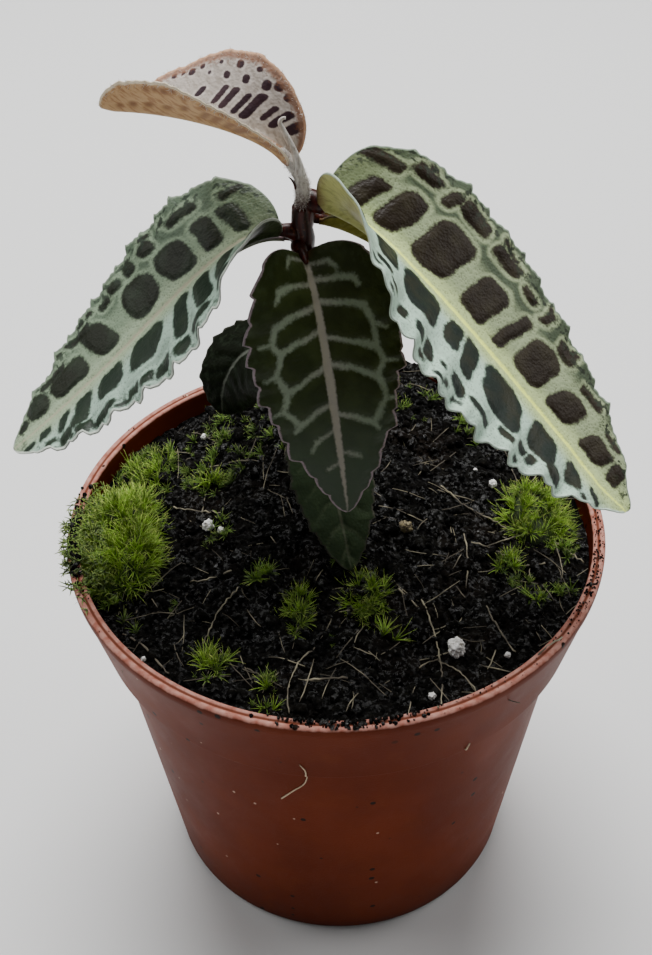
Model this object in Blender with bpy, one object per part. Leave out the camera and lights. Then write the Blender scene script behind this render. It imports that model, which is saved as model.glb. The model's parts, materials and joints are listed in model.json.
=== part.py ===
"""A young labisia in a small tapered nursery pot.

The pot is a thin moulded cup with a wide collar and eight drainage holes. It is filled with
peat, heaped towards the middle, on which cushions of moss and one grain of perlite sit. One
stem stands in a plain hole in the peat and carries eight toothed leaves, each on its own petiole.
The origin is the middle of the pot's base, on the surface that the pot stands on, and +Z is up.
"""

import bmesh
import bpy
import math
from mathutils import Matrix, Vector, noise
from mathutils.bvhtree import BVHTree

MM = 0.001
SEAT_GAP = 0.3  # mm between a piece and what carries it

# The pot, in mm.
RIM_RADIUS = 45.0
POT_HEIGHT = 75.4
LIP_WIDTH = 2.1
LIP_DEPTH = 1.6
COLLAR_HEIGHT = 15.8
COLLAR_FOOT_RADIUS = 41.7
SHOULDER_RADIUS = 39.7
BASE_RADIUS = 32.6
BASE_ROUNDING = 1.6
WALL = 1.2
FLOOR = 1.5
ROUND_SIDES = 64
DRAIN_HOLES = 8
DRAIN_RADIUS = 3.5
DRAIN_CIRCLE = 24.0
DRAIN_SIDES = 12

# The peat, in mm. Heights are above the rim's plane.
SOIL_EDGE_LEVEL = -4.6
SOIL_RINGS = 15
SOIL_LUMP = 1.1
SOIL_LUMP_SIZE = 5.5
SOIL_MOUNDS = (  # x, y, height, spread
    (2.0, 14.0, 8.6, 17.0),
    (17.0, 30.0, 5.5, 9.0),
    (-14.0, 30.0, 3.2, 8.0),
)
SOIL_SHOULDER = 6.0  # over this width the peat sinks to its level at the wall

# The stem, in mm. Heights are above the rim's plane.
STEM_PATH = (
    (-4.0, 14.0, -16.0),
    (-4.0, 14.0, 4.0),
    (-4.4, 12.6, 18.0),
    (-4.6, 9.4, 35.0),
    (-4.2, 5.8, 51.0),
    (-4.4, 4.9, 58.0),
)
STEM_RADII = (1.9, 1.9, 1.7, 1.5, 1.45, 1.2)
STEM_SIDES = 10
STEM_HOLE_RADIUS = 2.5
STEM_HOLE_BOTTOM = -17.0
PETIOLE_RADIUS = 0.95
PETIOLE_SIDES = 8

# The blades, in mm and degrees.
BLADE_THICKNESS = 0.7
KEEL_DEPTH = 0.7
BASE_HALF_WIDTH = 1.0
TIP_HALF_WIDTH = 0.5
BASE_BEND_SHARE = 0.12  # share of the blade in which it turns from the petiole's pitch to its own
BASE_FOLD_SHARE = 0.16  # share of the blade in which it opens from the fold at its base
COLUMNS = (-1.0, -0.5, 0.0, 0.5, 1.0)
TOOTH_PEAK = 0.72  # where in its spacing a tooth stands out most

# Half widths are given at these shares of a blade's length, from its base to its tip.
WIDTH_SHARES = (0.0, 0.03, 0.1, 0.2, 0.3, 0.4, 0.5, 0.6, 0.7, 0.8, 0.9, 0.97, 1.0)
ELLIPTIC = (0.0, 0.32, 0.55, 0.78, 0.92, 1.0, 1.0, 0.94, 0.82, 0.64, 0.42, 0.20, 0.0)


def elliptic(half_width):
    """Half widths of a plain elliptic blade, for the leaves that the others mostly hide."""
    return tuple(half_width * share for share in ELLIPTIC)


# base: where the blade starts, with its height above the rim. root: where the petiole leaves the
# stem. heading: direction seen from above, 0 along +X, and turn, how far it swings on the way to
# the tip. pitch: at the base, past the base bend and at the tip. left and right: half widths.
# roll: tilt about the midrib, at the base and at the tip. fold: how far each half stands up from
# flat, at the base and beyond. wave: height of the ruffle at each edge.
LEAVES = {
    "leaf_right": dict(
        base=(-1.6, 5.2, 56.8), root=(-4.0, 5.3, 50.5), heading=-21, turn=-13,
        pitch=(4, -44, -42), length=65.5, roll=(7, 1), fold_left=(37, 8), fold_right=(84, 7),
        left=(0.0, 8.4, 12.8, 15.0, 15.4, 15.2, 14.0, 12.4, 10.7, 8.5, 5.4, 1.9, 0.0),
        right=(0.0, 7.0, 13.0, 17.0, 18.0, 18.0, 17.6, 16.4, 14.2, 11.2, 7.2, 3.0, 0.0),
        teeth=17, tooth=0.9, wave=(0.3, 0.8), waves=9, colour="leaf_green",
    ),
    "leaf_left": dict(
        base=(-7.4, 4.4, 53.0), root=(-4.3, 6.2, 51.0), heading=192, turn=8,
        pitch=(16, -50, -36), length=54.5, roll=(-12, 0), fold_left=(80, -1), fold_right=(24, 10),
        left=(0.0, 5.5, 9.5, 12.8, 14.2, 14.0, 13.0, 11.5, 10.4, 8.5, 5.8, 2.6, 0.0),
        right=(0.0, 6.0, 10.4, 12.4, 12.6, 12.4, 11.2, 10.2, 9.0, 6.8, 4.7, 2.0, 0.0),
        teeth=15, tooth=0.8, wave=(0.6, 0.3), waves=8, colour="leaf_green",
    ),
    "leaf_front": dict(
        base=(-4.4, 2.8, 50.0), root=(-4.3, 6.2, 49.5), heading=-71, turn=-3,
        pitch=(-10, -62, -67), length=40.0, roll=(-6, 5), fold_left=(19, 1), fold_right=(24, -1),
        left=(0.0, 6.4, 9.6, 11.2, 11.7, 11.4, 10.4, 9.3, 7.9, 5.8, 3.4, 1.7, 0.0),
        right=(0.0, 6.0, 8.8, 10.6, 11.0, 11.1, 10.0, 8.9, 7.3, 5.3, 3.0, 1.5, 0.0),
        teeth=11, tooth=0.8, wave=(0.2, 0.2), waves=5, colour="leaf_green",
    ),
    "leaf_young": dict(
        base=(-5.6, 4.0, 64.0), root=(-4.4, 5.0, 57.0), heading=170, turn=-13,
        pitch=(62, 22, -12), length=29.6, roll=(-28, 22), fold_left=(68, 55), fold_right=(64, 34),
        left=(0.0, 2.6, 5.0, 6.4, 7.2, 8.0, 8.6, 8.3, 7.2, 5.8, 4.2, 2.2, 0.0),
        right=(0.0, 3.2, 6.4, 8.8, 10.4, 10.6, 9.9, 8.6, 7.0, 5.3, 3.6, 1.9, 0.0),
        teeth=13, tooth=0.3, wave=(0.1, 0.1), waves=4, colour="leaf_pink",
    ),
    "leaf_low_front": dict(
        base=(-4.3, 9.4, 20.6), root=(-4.4, 12.4, 18.6), heading=-73, turn=0,
        pitch=(-4, -38, -55), length=31.5, roll=(0, 1), fold_left=(8, 5), fold_right=(8, 4),
        left=elliptic(6.6), right=elliptic(6.6),
        teeth=10, tooth=0.5, wave=(0.1, 0.1), waves=4, colour="leaf_green",
    ),
    "leaf_low_left": dict(
        base=(-7.0, 17.5, 22.0), root=(-4.4, 12.8, 16.5), heading=158, turn=80,
        pitch=(40, 2, -98), length=21.7, roll=(-20, -10), fold_left=(8, 5), fold_right=(8, 5),
        left=elliptic(9.0), right=elliptic(6.3),
        teeth=10, tooth=0.5, wave=(0.1, 0.1), waves=4, colour="leaf_green",
    ),
    "leaf_back_left": dict(
        base=(-7.0, 8.8, 49.4), root=(-4.5, 7.2, 46.8), heading=164, turn=4,
        pitch=(6, -30, -62), length=27.0, roll=(8, 0), fold_left=(15, 8), fold_right=(15, 8),
        left=elliptic(6.2), right=elliptic(6.2),
        teeth=10, tooth=0.4, wave=(0.1, 0.1), waves=4, colour="leaf_green",
    ),
    "leaf_back_right": dict(
        base=(-1.8, 7.8, 52.8), root=(-4.4, 6.4, 49.6), heading=0, turn=4,
        pitch=(-4, -30, -48), length=25.0, roll=(-4, 0), fold_left=(72, 58), fold_right=(76, 62),
        left=elliptic(4.4), right=elliptic(4.4),
        teeth=10, tooth=0.3, wave=(0.1, 0.1), waves=4, colour="leaf_green",
    ),
}

# The moss, in mm: middle, radius across X and Y, height above the peat, and spikes round the edge.
MOSS = {
    "moss_left": dict(middle=(-33.8, -1.5), radii=(8.6, 12.4), height=6.2, sides=18, rings=5),
    "moss_right": dict(middle=(31.5, 2.0), radii=(6.0, 6.5), height=4.6, sides=14, rings=4),
    "moss_front": dict(middle=(-6.0, -19.0), radii=(3.2, 5.2), height=3.2, sides=12, rings=3),
    "moss_middle": dict(middle=(5.4, -16.5), radii=(3.8, 3.8), height=3.0, sides=12, rings=3),
}
MOSS_SPIKE = 1.7
MOSS_SEED = 11

PERLITE_PLACE = (18.4, -27.0)
PERLITE_RADIUS = 1.7

MATERIALS = {  # colour, roughness
    "pot_plastic": ((0.27, 0.075, 0.040), 0.42),
    "peat": ((0.012, 0.010, 0.009), 0.95),
    "stem_bark": ((0.075, 0.022, 0.014), 0.60),
    "leaf_green": ((0.060, 0.085, 0.045), 0.50),
    "leaf_pink": ((0.42, 0.24, 0.16), 0.60),
    "moss": ((0.13, 0.27, 0.02), 0.85),
    "perlite": ((0.80, 0.79, 0.76), 0.90),
}


def clear_scene():
    for obj in list(bpy.data.objects):
        bpy.data.objects.remove(obj)


def material(name):
    found = bpy.data.materials.get(name)
    if found:
        return found
    colour, roughness = MATERIALS[name]
    made = bpy.data.materials.new(name)
    made.use_nodes = True
    shader = made.node_tree.nodes["Principled BSDF"]
    shader.inputs["Base Color"].default_value = (*colour, 1.0)
    shader.inputs["Roughness"].default_value = roughness
    shader.inputs["Metallic"].default_value = 0.0
    return made


def add_object(name, points, faces, colour, place=(0.0, 0.0, 0.0), smooth=True):
    """An object whose points are given in mm about its place, which is in mm too."""
    mesh = bpy.data.meshes.new(name)
    mesh.from_pydata([[c * MM for c in p] for p in points], [], faces)
    bm = bmesh.new()
    bm.from_mesh(mesh)
    bmesh.ops.recalc_face_normals(bm, faces=bm.faces)
    bm.to_mesh(mesh)
    bm.free()
    if smooth:
        mesh.shade_smooth()
        mesh.set_sharp_from_angle(angle=math.radians(40))
    mesh.materials.append(material(colour))
    obj = bpy.data.objects.new(name, mesh)
    obj.location = [c * MM for c in place]
    bpy.context.scene.collection.objects.link(obj)
    return obj


def turned(profile, sides=ROUND_SIDES):
    """Points and faces of a profile of (radius, height) turned about Z, with a fan at each end."""
    points, faces = [], []
    for radius, height in profile:
        for k in range(sides):
            angle = 2 * math.pi * k / sides
            points.append((radius * math.cos(angle), radius * math.sin(angle), height))
    for i in range(len(profile) - 1):
        for k in range(sides):
            a, b = i * sides + k, i * sides + (k + 1) % sides
            faces.append((a, b, b + sides, a + sides))
    for ring, height in ((0, profile[0][1]), (len(profile) - 1, profile[-1][1])):
        points.append((0.0, 0.0, height))
        middle = len(points) - 1
        faces += [(ring * sides + k, ring * sides + (k + 1) % sides, middle) for k in range(sides)]
    return points, faces


def apply_boolean(obj, operation, other=None, collection=None):
    modifier = obj.modifiers.new(operation.title(), "BOOLEAN")
    modifier.operation = operation
    modifier.solver = "EXACT"
    if collection:
        modifier.operand_type = "COLLECTION"
        modifier.collection = collection
    else:
        modifier.object = other
    bpy.context.view_layer.update()
    graph = bpy.context.evaluated_depsgraph_get()
    made = bpy.data.meshes.new_from_object(obj.evaluated_get(graph))
    obj.modifiers.clear()
    obj.data = made


def inner_wall(height):
    """The pot's inner radius at a height above the floor that it stands on."""
    shoulder = POT_HEIGHT - COLLAR_HEIGHT
    if height >= shoulder:
        share = (height - shoulder) / COLLAR_HEIGHT
        return COLLAR_FOOT_RADIUS + (RIM_RADIUS - COLLAR_FOOT_RADIUS) * share - WALL
    share = (height - BASE_ROUNDING) / (shoulder - BASE_ROUNDING)
    return BASE_RADIUS + (SHOULDER_RADIUS - BASE_RADIUS) * share - WALL


def build_pot():
    shoulder = POT_HEIGHT - COLLAR_HEIGHT
    corner = [
        (
            BASE_RADIUS - BASE_ROUNDING * (1 - math.sin(a)),
            BASE_ROUNDING * (1 - math.cos(a)),
        )
        for a in (0.0, math.pi / 6, math.pi / 3, math.pi / 2)
    ]
    lip = POT_HEIGHT - LIP_DEPTH
    profile = [
        *corner,
        (SHOULDER_RADIUS, shoulder - 0.3),
        (COLLAR_FOOT_RADIUS - 0.3, shoulder - 0.1),
        (COLLAR_FOOT_RADIUS, shoulder + 0.4),
        (RIM_RADIUS, POT_HEIGHT - 0.5),
        (RIM_RADIUS - 0.5, POT_HEIGHT),
        (RIM_RADIUS - LIP_WIDTH + 0.4, POT_HEIGHT),
        (RIM_RADIUS - LIP_WIDTH, POT_HEIGHT - 0.4),
        (RIM_RADIUS - LIP_WIDTH, lip),
        (inner_wall(lip - 0.8), lip - 0.8),
        (inner_wall(shoulder + 0.6), shoulder + 0.6),
        (inner_wall(shoulder - 1.4), shoulder - 1.4),
        (inner_wall(FLOOR + 1.0), FLOOR + 1.0),
        (inner_wall(FLOOR + 1.0) - 1.0, FLOOR),
    ]
    pot = add_object("pot", *turned(profile), "pot_plastic")
    points, faces = turned([(DRAIN_RADIUS, -2.0), (DRAIN_RADIUS, FLOOR + 2.0)], DRAIN_SIDES)
    cutters = bpy.data.collections.new("drain_cutters")
    bpy.context.scene.collection.children.link(cutters)
    for k in range(DRAIN_HOLES):
        angle = 2 * math.pi * (k + 0.5) / DRAIN_HOLES
        place = (DRAIN_CIRCLE * math.cos(angle), DRAIN_CIRCLE * math.sin(angle), 0.0)
        cutter = add_object(f"drain_cutter_{k}", points, faces, "pot_plastic", place)
        bpy.context.scene.collection.objects.unlink(cutter)
        cutters.objects.link(cutter)
    apply_boolean(pot, "DIFFERENCE", collection=cutters)
    for cutter in list(cutters.objects):
        bpy.data.objects.remove(cutter)
    bpy.data.collections.remove(cutters)
    return pot


def soil_level(x, y):
    """The height of the peat above the rim's plane, in mm."""
    level = SOIL_EDGE_LEVEL
    for mx, my, height, spread in SOIL_MOUNDS:
        level += height * math.exp(-((x - mx) ** 2 + (y - my) ** 2) / (2 * spread**2))
    lump = noise.noise(Vector((x, y, 3.7)) / SOIL_LUMP_SIZE)
    lump += 0.5 * noise.noise(Vector((x, y, 9.1)) / (0.5 * SOIL_LUMP_SIZE))
    level += SOIL_LUMP * lump
    reach = inner_wall(POT_HEIGHT + SOIL_EDGE_LEVEL) - math.hypot(x, y)
    share = min(max(reach / SOIL_SHOULDER, 0.0), 1.0)
    share = share * share * (3 - 2 * share)
    return SOIL_EDGE_LEVEL + (level - SOIL_EDGE_LEVEL) * share


def build_soil():
    """The peat, with its heaped and crumbled top and the plain hole for the stem."""
    sides, points, faces = ROUND_SIDES, [], []
    top = POT_HEIGHT + SOIL_EDGE_LEVEL
    shoulder = POT_HEIGHT - COLLAR_HEIGHT
    edge = inner_wall(top) - SEAT_GAP
    rings = [edge * (k / SOIL_RINGS) ** 0.85 for k in range(SOIL_RINGS, 0, -1)]
    walls = [
        (inner_wall(FLOOR + 1.3) - 1.3 - SEAT_GAP, FLOOR + SEAT_GAP),
        (inner_wall(FLOOR + 1.3) - SEAT_GAP, FLOOR + 1.3 + SEAT_GAP),
        (inner_wall(shoulder - 1.7) - SEAT_GAP, shoulder - 1.7),
        (inner_wall(shoulder + 0.6) - SEAT_GAP - 0.2, shoulder + 0.6),
    ]
    for radius, height in walls:
        for k in range(sides):
            angle = 2 * math.pi * k / sides
            points.append((radius * math.cos(angle), radius * math.sin(angle), height))
    for radius in rings:
        for k in range(sides):
            angle = 2 * math.pi * k / sides
            x, y = radius * math.cos(angle), radius * math.sin(angle)
            points.append((x, y, POT_HEIGHT + soil_level(x, y)))
    for i in range(len(walls) + len(rings) - 1):
        for k in range(sides):
            a, b = i * sides + k, i * sides + (k + 1) % sides
            faces += [(a, b, b + sides), (a, b + sides, a + sides)]
    last = (len(walls) + len(rings) - 1) * sides
    for ring, height in ((0, walls[0][1]), (last, POT_HEIGHT + soil_level(0.0, 0.0))):
        points.append((0.0, 0.0, height))
        middle = len(points) - 1
        faces += [(ring + k, ring + (k + 1) % sides, middle) for k in range(sides)]
    soil = add_object("soil", points, faces, "peat")
    x, y, _ = STEM_PATH[0]
    hole = turned([(STEM_HOLE_RADIUS, STEM_HOLE_BOTTOM), (STEM_HOLE_RADIUS, 20.0)], 16)
    cutter = add_object("stem_hole_cutter", *hole, "peat", (x, y, POT_HEIGHT))
    apply_boolean(soil, "DIFFERENCE", other=cutter)
    bpy.data.objects.remove(cutter)
    return soil


def smooth_path(control, radii, steps):
    """Points and radii on a Catmull-Rom curve through the control points."""
    control = [Vector(p) for p in control]
    ends = [2 * control[0] - control[1], *control, 2 * control[-1] - control[-2]]
    path, widths = [], []
    for i in range(len(control) - 1):
        a, b, c, d = ends[i : i + 4]
        for k in range(steps):
            t = k / steps
            path.append(
                0.5
                * (
                    2 * b
                    + (c - a) * t
                    + (2 * a - 5 * b + 4 * c - d) * t**2
                    + (3 * b - a - 3 * c + d) * t**3
                )
            )
            widths.append(radii[i] + (radii[i + 1] - radii[i]) * t)
    return [*path, control[-1]], [*widths, radii[-1]]


def swept(path, radii, sides):
    """Points and faces of a closed round tube along a path."""
    points, faces = [], []
    across = Vector((1.0, 0.0, 0.0))
    for i, middle in enumerate(path):
        along = (path[min(i + 1, len(path) - 1)] - path[max(i - 1, 0)]).normalized()
        across = (across - along * across.dot(along)).normalized()
        up = along.cross(across)
        for k in range(sides):
            angle = 2 * math.pi * k / sides
            points.append(middle + (across * math.cos(angle) + up * math.sin(angle)) * radii[i])
    for i in range(len(path) - 1):
        for k in range(sides):
            a, b = i * sides + k, i * sides + (k + 1) % sides
            faces.append((a, b, b + sides, a + sides))
    faces.append(tuple(range(sides)))
    faces.append(tuple(range(len(points) - sides, len(points))))
    return points, faces


def direction(heading, pitch):
    heading, pitch = math.radians(heading), math.radians(pitch)
    return Vector(
        (
            math.cos(heading) * math.cos(pitch),
            math.sin(heading) * math.cos(pitch),
            math.sin(pitch),
        )
    )


def build_stem():
    """The stem and the petioles that branch from it, joined in one body."""
    path, radii = smooth_path(STEM_PATH, STEM_RADII, 3)
    place = (0.0, 0.0, POT_HEIGHT)
    stem = add_object("stem", *swept(path, radii, STEM_SIDES), "stem_bark", place)
    petioles = bpy.data.collections.new("petioles")
    bpy.context.scene.collection.children.link(petioles)
    for name, leaf in LEAVES.items():
        start = direction(leaf["heading"], leaf["pitch"][0])
        base = Vector(leaf["base"])
        reach = (base - Vector(leaf["root"])).length
        control = (leaf["root"], base - start * 0.4 * reach, base - start * SEAT_GAP * 1.2)
        widths = (PETIOLE_RADIUS * 1.1, PETIOLE_RADIUS, PETIOLE_RADIUS)
        limb = swept(*smooth_path(control, widths, 3), PETIOLE_SIDES)
        petiole = add_object(f"petiole_of_{name}", *limb, "stem_bark", place)
        bpy.context.scene.collection.objects.unlink(petiole)
        petioles.objects.link(petiole)
    apply_boolean(stem, "UNION", collection=petioles)
    for petiole in list(petioles.objects):
        bpy.data.objects.remove(petiole)
    bpy.data.collections.remove(petioles)
    return stem


def blend(ends, share):
    return ends[0] + (ends[1] - ends[0]) * share


def leaf_pitch(leaf, s):
    at_base, beyond, at_tip = leaf["pitch"]
    steady = beyond + (at_tip - beyond) * s
    return steady + (at_base - beyond) * math.exp(-s / BASE_BEND_SHARE)


def leaf_half_width(widths, s):
    """A smooth curve through the widths, with a round end at the base and at the tip."""
    least = BASE_HALF_WIDTH + (TIP_HALF_WIDTH - BASE_HALF_WIDTH) * s
    if s <= WIDTH_SHARES[1]:
        return max(widths[1] * math.sqrt(s / WIDTH_SHARES[1]), least)
    if s >= WIDTH_SHARES[-2]:
        return max(widths[-2] * math.sqrt((1 - s) / (1 - WIDTH_SHARES[-2])), least)
    k = max(i for i in range(len(WIDTH_SHARES)) if WIDTH_SHARES[i] < s)
    step = WIDTH_SHARES[k + 1] - WIDTH_SHARES[k]
    t = (s - WIDTH_SHARES[k]) / step
    slopes = []
    for i in (k, k + 1):
        rise = widths[i + 1] - widths[i - 1]
        slopes.append(step * rise / (WIDTH_SHARES[i + 1] - WIDTH_SHARES[i - 1]))
    width = (2 * t**3 - 3 * t**2 + 1) * widths[k] + (3 * t**2 - 2 * t**3) * widths[k + 1]
    width += (t**3 - 2 * t**2 + t) * slopes[0] + (t**3 - t**2) * slopes[1]
    return max(width, least)


def leaf_stations(leaf):
    """Shares of the length at which the blade is cut, with 1 where a tooth peaks."""
    found = [(0.0, 0.0), (0.012, 0.0), (0.03, 0.0)]
    for k in range(leaf["teeth"]):
        start = 0.03 + 0.97 * k / leaf["teeth"]
        step = 0.97 / leaf["teeth"]
        if k:
            found.append((start, 0.0))
        if k < leaf["teeth"] - 1:
            found.append((start + TOOTH_PEAK * step, 1.0))
    return [*found, (1.0, 0.0)]


def leaf_middle_surface(leaf):
    """Rows of points across the blade, one row for each station."""
    stations = leaf_stations(leaf)
    rows, middle, before = [], Vector(leaf["base"]), 0.0
    for s, tooth in stations:
        parts = 4
        for k in range(parts):
            share = before + (s - before) * (k + 0.5) / parts
            heading = leaf["heading"] + leaf["turn"] * share
            length = leaf["length"] * (s - before) / parts
            middle = middle + direction(heading, leaf_pitch(leaf, share)) * length
        before = s
        heading = leaf["heading"] + leaf["turn"] * s
        along = direction(heading, leaf_pitch(leaf, s))
        level = direction(heading + 90.0, 0.0)
        roll = Matrix.Rotation(math.radians(blend(leaf["roll"], s)), 3, along)
        left = roll @ level
        up = along.cross(left)
        opened = 1 - math.exp(-s / BASE_FOLD_SHARE)
        swell = min(1.0, 4 * s) * min(1.0, 4 * (1 - s))
        row = []
        for column in COLUMNS:
            side = 0 if column > 0 else 1
            fold = math.radians(blend(leaf["fold_left" if side == 0 else "fold_right"], opened))
            reach = abs(column) * leaf_half_width(leaf["left" if side == 0 else "right"], s)
            if abs(column) == 1.0:
                reach += tooth * leaf["tooth"] * swell
            ruffle = leaf["wave"][side] * column**2 * swell
            ruffle *= math.sin(2 * math.pi * (leaf["waves"] * s + 0.3 * side))
            sideways = left * math.copysign(math.cos(fold) * reach, column)
            row.append(middle + sideways + up * (math.sin(fold) * reach + ruffle))
        rows.append(row)
    return rows


def row_normals(rows):
    """The blade's upward direction at every point of the rows."""
    normals = []
    for i, row in enumerate(rows):
        line = []
        for j in range(len(row)):
            along = rows[min(i + 1, len(rows) - 1)][j] - rows[max(i - 1, 0)][j]
            across = row[min(j + 1, len(row) - 1)] - row[max(j - 1, 0)]
            line.append(along.cross(across).normalized())
        normals.append(line)
    return normals


def build_leaf(name, leaf):
    """One blade: two faces split into triangles alike, closed round the toothed edge."""
    rows = leaf_middle_surface(leaf)
    normals = row_normals(rows)
    count = len(COLUMNS)
    middle_column = COLUMNS.index(0.0)
    points = []
    for face in (0.5, -0.5):
        for i, row in enumerate(rows):
            keel = KEEL_DEPTH * (1 - i / (len(rows) - 1))
            for j, point in enumerate(row):
                offset = BLADE_THICKNESS * face
                if face < 0 and j == middle_column:
                    offset -= keel
                points.append(point + normals[i][j] * offset)
    under = len(rows) * count
    faces = []
    for i in range(len(rows) - 1):
        for j in range(count - 1):
            a, b = i * count + j, i * count + j + 1
            c, d = b + count, a + count
            faces += [(a, b, c), (a, c, d)]
            faces += [(under + a, under + c, under + b), (under + a, under + d, under + c)]
        for j in (0, count - 1):
            a, d = i * count + j, (i + 1) * count + j
            faces += [(a, d, under + d), (a, under + d, under + a)]
    for i in (0, len(rows) - 1):
        for j in range(count - 1):
            a, b = i * count + j, i * count + j + 1
            faces += [(a, b, under + b), (a, under + b, under + a)]
    return add_object(name, points, faces, leaf["colour"], (0.0, 0.0, POT_HEIGHT))


def build_moss(name, moss, ground):
    """A cushion whose every facet stands up in a spike, on a base that follows the peat."""
    sides, rings = moss["sides"], moss["rings"]
    mx, my = moss["middle"]
    tops, bottoms = [], []
    limit = inner_wall(POT_HEIGHT - LIP_DEPTH) - 1.6
    for ring in range(rings, 0, -1):
        share = ring / rings
        for k in range(sides):
            angle = 2 * math.pi * (k + 0.5 * (ring % 2)) / sides
            x = mx + moss["radii"][0] * share * math.cos(angle)
            y = my + moss["radii"][1] * share * math.sin(angle)
            out = math.hypot(x, y)
            if out > limit:
                x, y = x * limit / out, y * limit / out
            floor = ground(x, y) + SEAT_GAP + 0.15
            rise = 0.6 + moss["height"] * math.cos(share * math.pi / 2) ** 0.7
            tops.append(Vector((x, y, floor + rise)))
            bottoms.append(Vector((x, y, floor)))
    count = len(tops)
    floor = ground(mx, my) + SEAT_GAP + 0.15
    bm = bmesh.new()
    upper = [bm.verts.new(p) for p in tops] + [bm.verts.new((mx, my, floor + moss["height"] + 0.6))]
    lower = [bm.verts.new(p) for p in bottoms] + [bm.verts.new((mx, my, floor))]
    spiked = []
    for i in range(rings - 1):
        for k in range(sides):
            a, b = i * sides + k, i * sides + (k + 1) % sides
            for corners in ((a, b, b + sides), (a, b + sides, a + sides)):
                spiked.append(bm.faces.new([upper[c] for c in corners]))
                bm.faces.new([lower[c] for c in reversed(corners)])
    inner = (rings - 1) * sides
    for k in range(sides):
        corners = (inner + k, inner + (k + 1) % sides, count)
        spiked.append(bm.faces.new([upper[c] for c in corners]))
        bm.faces.new([lower[c] for c in reversed(corners)])
        a, b = k, (k + 1) % sides
        bm.faces.new((lower[a], lower[b], upper[b], upper[a]))
    bmesh.ops.recalc_face_normals(bm, faces=bm.faces)
    crest = Vector((mx, my, floor - 0.6 * moss["height"]))
    tips = bmesh.ops.poke(bm, faces=spiked)["verts"]
    for tip in tips:
        outward = (tip.co - crest).normalized()
        length = MOSS_SPIKE * (0.75 + 0.5 * noise.random_unit_vector()[0] ** 2)
        target = tip.co + outward * length
        if math.hypot(target.x, target.y) < limit + 0.6:
            tip.co = target
    mesh = bpy.data.meshes.new(name)
    bmesh.ops.triangulate(bm, faces=bm.faces)
    bmesh.ops.scale(bm, vec=(MM, MM, MM), verts=bm.verts)
    bm.to_mesh(mesh)
    bm.free()
    mesh.materials.append(material("moss"))
    obj = bpy.data.objects.new(name, mesh)
    bpy.context.scene.collection.objects.link(obj)
    return obj


def build_perlite(ground):
    """A knobbly grain that lies on the peat."""
    bm = bmesh.new()
    bmesh.ops.create_icosphere(bm, subdivisions=2, radius=PERLITE_RADIUS)
    for vert in bm.verts:
        vert.co *= 1 + 0.22 * noise.noise(vert.co * 0.9)
    x, y = PERLITE_PLACE
    around = [(0.0, 0.0)] + [(dx, dy) for dx in (-1.0, 1.0) for dy in (-1.0, 1.0)]
    floor = max(ground(x + dx, y + dy) for dx, dy in around)
    lowest = min(vert.co.z for vert in bm.verts)
    lift = Vector((x, y, floor - lowest + SEAT_GAP))
    for vert in bm.verts:
        vert.co = (vert.co + lift) * MM
    mesh = bpy.data.meshes.new("perlite_grain")
    bm.to_mesh(mesh)
    bm.free()
    mesh.materials.append(material("perlite"))
    obj = bpy.data.objects.new("perlite_grain", mesh)
    bpy.context.scene.collection.objects.link(obj)
    return obj


def ground_of(soil):
    """A function that gives the height in mm of the peat's facets over a point."""
    graph = bpy.context.evaluated_depsgraph_get()
    tree = BVHTree.FromObject(soil, graph)

    def height(x, y):
        above = Vector((x, y, 2 * POT_HEIGHT)) * MM
        return tree.ray_cast(above, Vector((0.0, 0.0, -1.0)))[0].z / MM

    return height


def main():
    clear_scene()
    noise.seed_set(MOSS_SEED)
    build_pot()
    soil = build_soil()
    build_stem()
    for name, leaf in LEAVES.items():
        build_leaf(name, leaf)
    ground = ground_of(soil)
    for name, moss in MOSS.items():
        build_moss(name, moss, ground)
    build_perlite(ground)


main()
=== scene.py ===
"""The visible model of the potted labisia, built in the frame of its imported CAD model.

Every piece is made in millimetres, with its place in its mesh, and stands on the CAD frame's
origin: the middle of the pot's base, with +Z up and -Y towards the camera.
"""

import json
import math
import random

import bmesh
import bpy
import numpy as np
from mathutils import Matrix, Vector, noise

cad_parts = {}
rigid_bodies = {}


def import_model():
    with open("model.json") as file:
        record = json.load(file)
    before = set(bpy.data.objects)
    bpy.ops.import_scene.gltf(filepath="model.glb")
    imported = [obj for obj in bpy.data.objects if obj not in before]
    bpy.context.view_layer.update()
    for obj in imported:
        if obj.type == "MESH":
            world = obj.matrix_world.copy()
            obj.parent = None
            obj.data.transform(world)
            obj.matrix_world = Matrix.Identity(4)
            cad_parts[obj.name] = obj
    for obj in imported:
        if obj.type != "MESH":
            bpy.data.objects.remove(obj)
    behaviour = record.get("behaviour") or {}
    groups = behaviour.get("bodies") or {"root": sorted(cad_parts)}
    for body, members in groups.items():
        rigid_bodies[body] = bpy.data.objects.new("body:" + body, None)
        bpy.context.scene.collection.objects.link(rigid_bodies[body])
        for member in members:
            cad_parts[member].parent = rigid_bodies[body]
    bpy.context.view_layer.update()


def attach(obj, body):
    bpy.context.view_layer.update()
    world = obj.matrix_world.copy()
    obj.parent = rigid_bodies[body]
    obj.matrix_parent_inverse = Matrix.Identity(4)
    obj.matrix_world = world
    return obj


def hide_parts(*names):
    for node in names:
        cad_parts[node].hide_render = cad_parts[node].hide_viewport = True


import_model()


# The pot
# A thin cup of satin terracotta-brown plastic, moulded in one with a stepped collar, a small double
# bead round its lip and eight drainage holes. The lip is scuffed paler, with a painted highlight on
# the top of its bead and painted shade in its groove, and the wall is specked with dirt.

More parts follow.
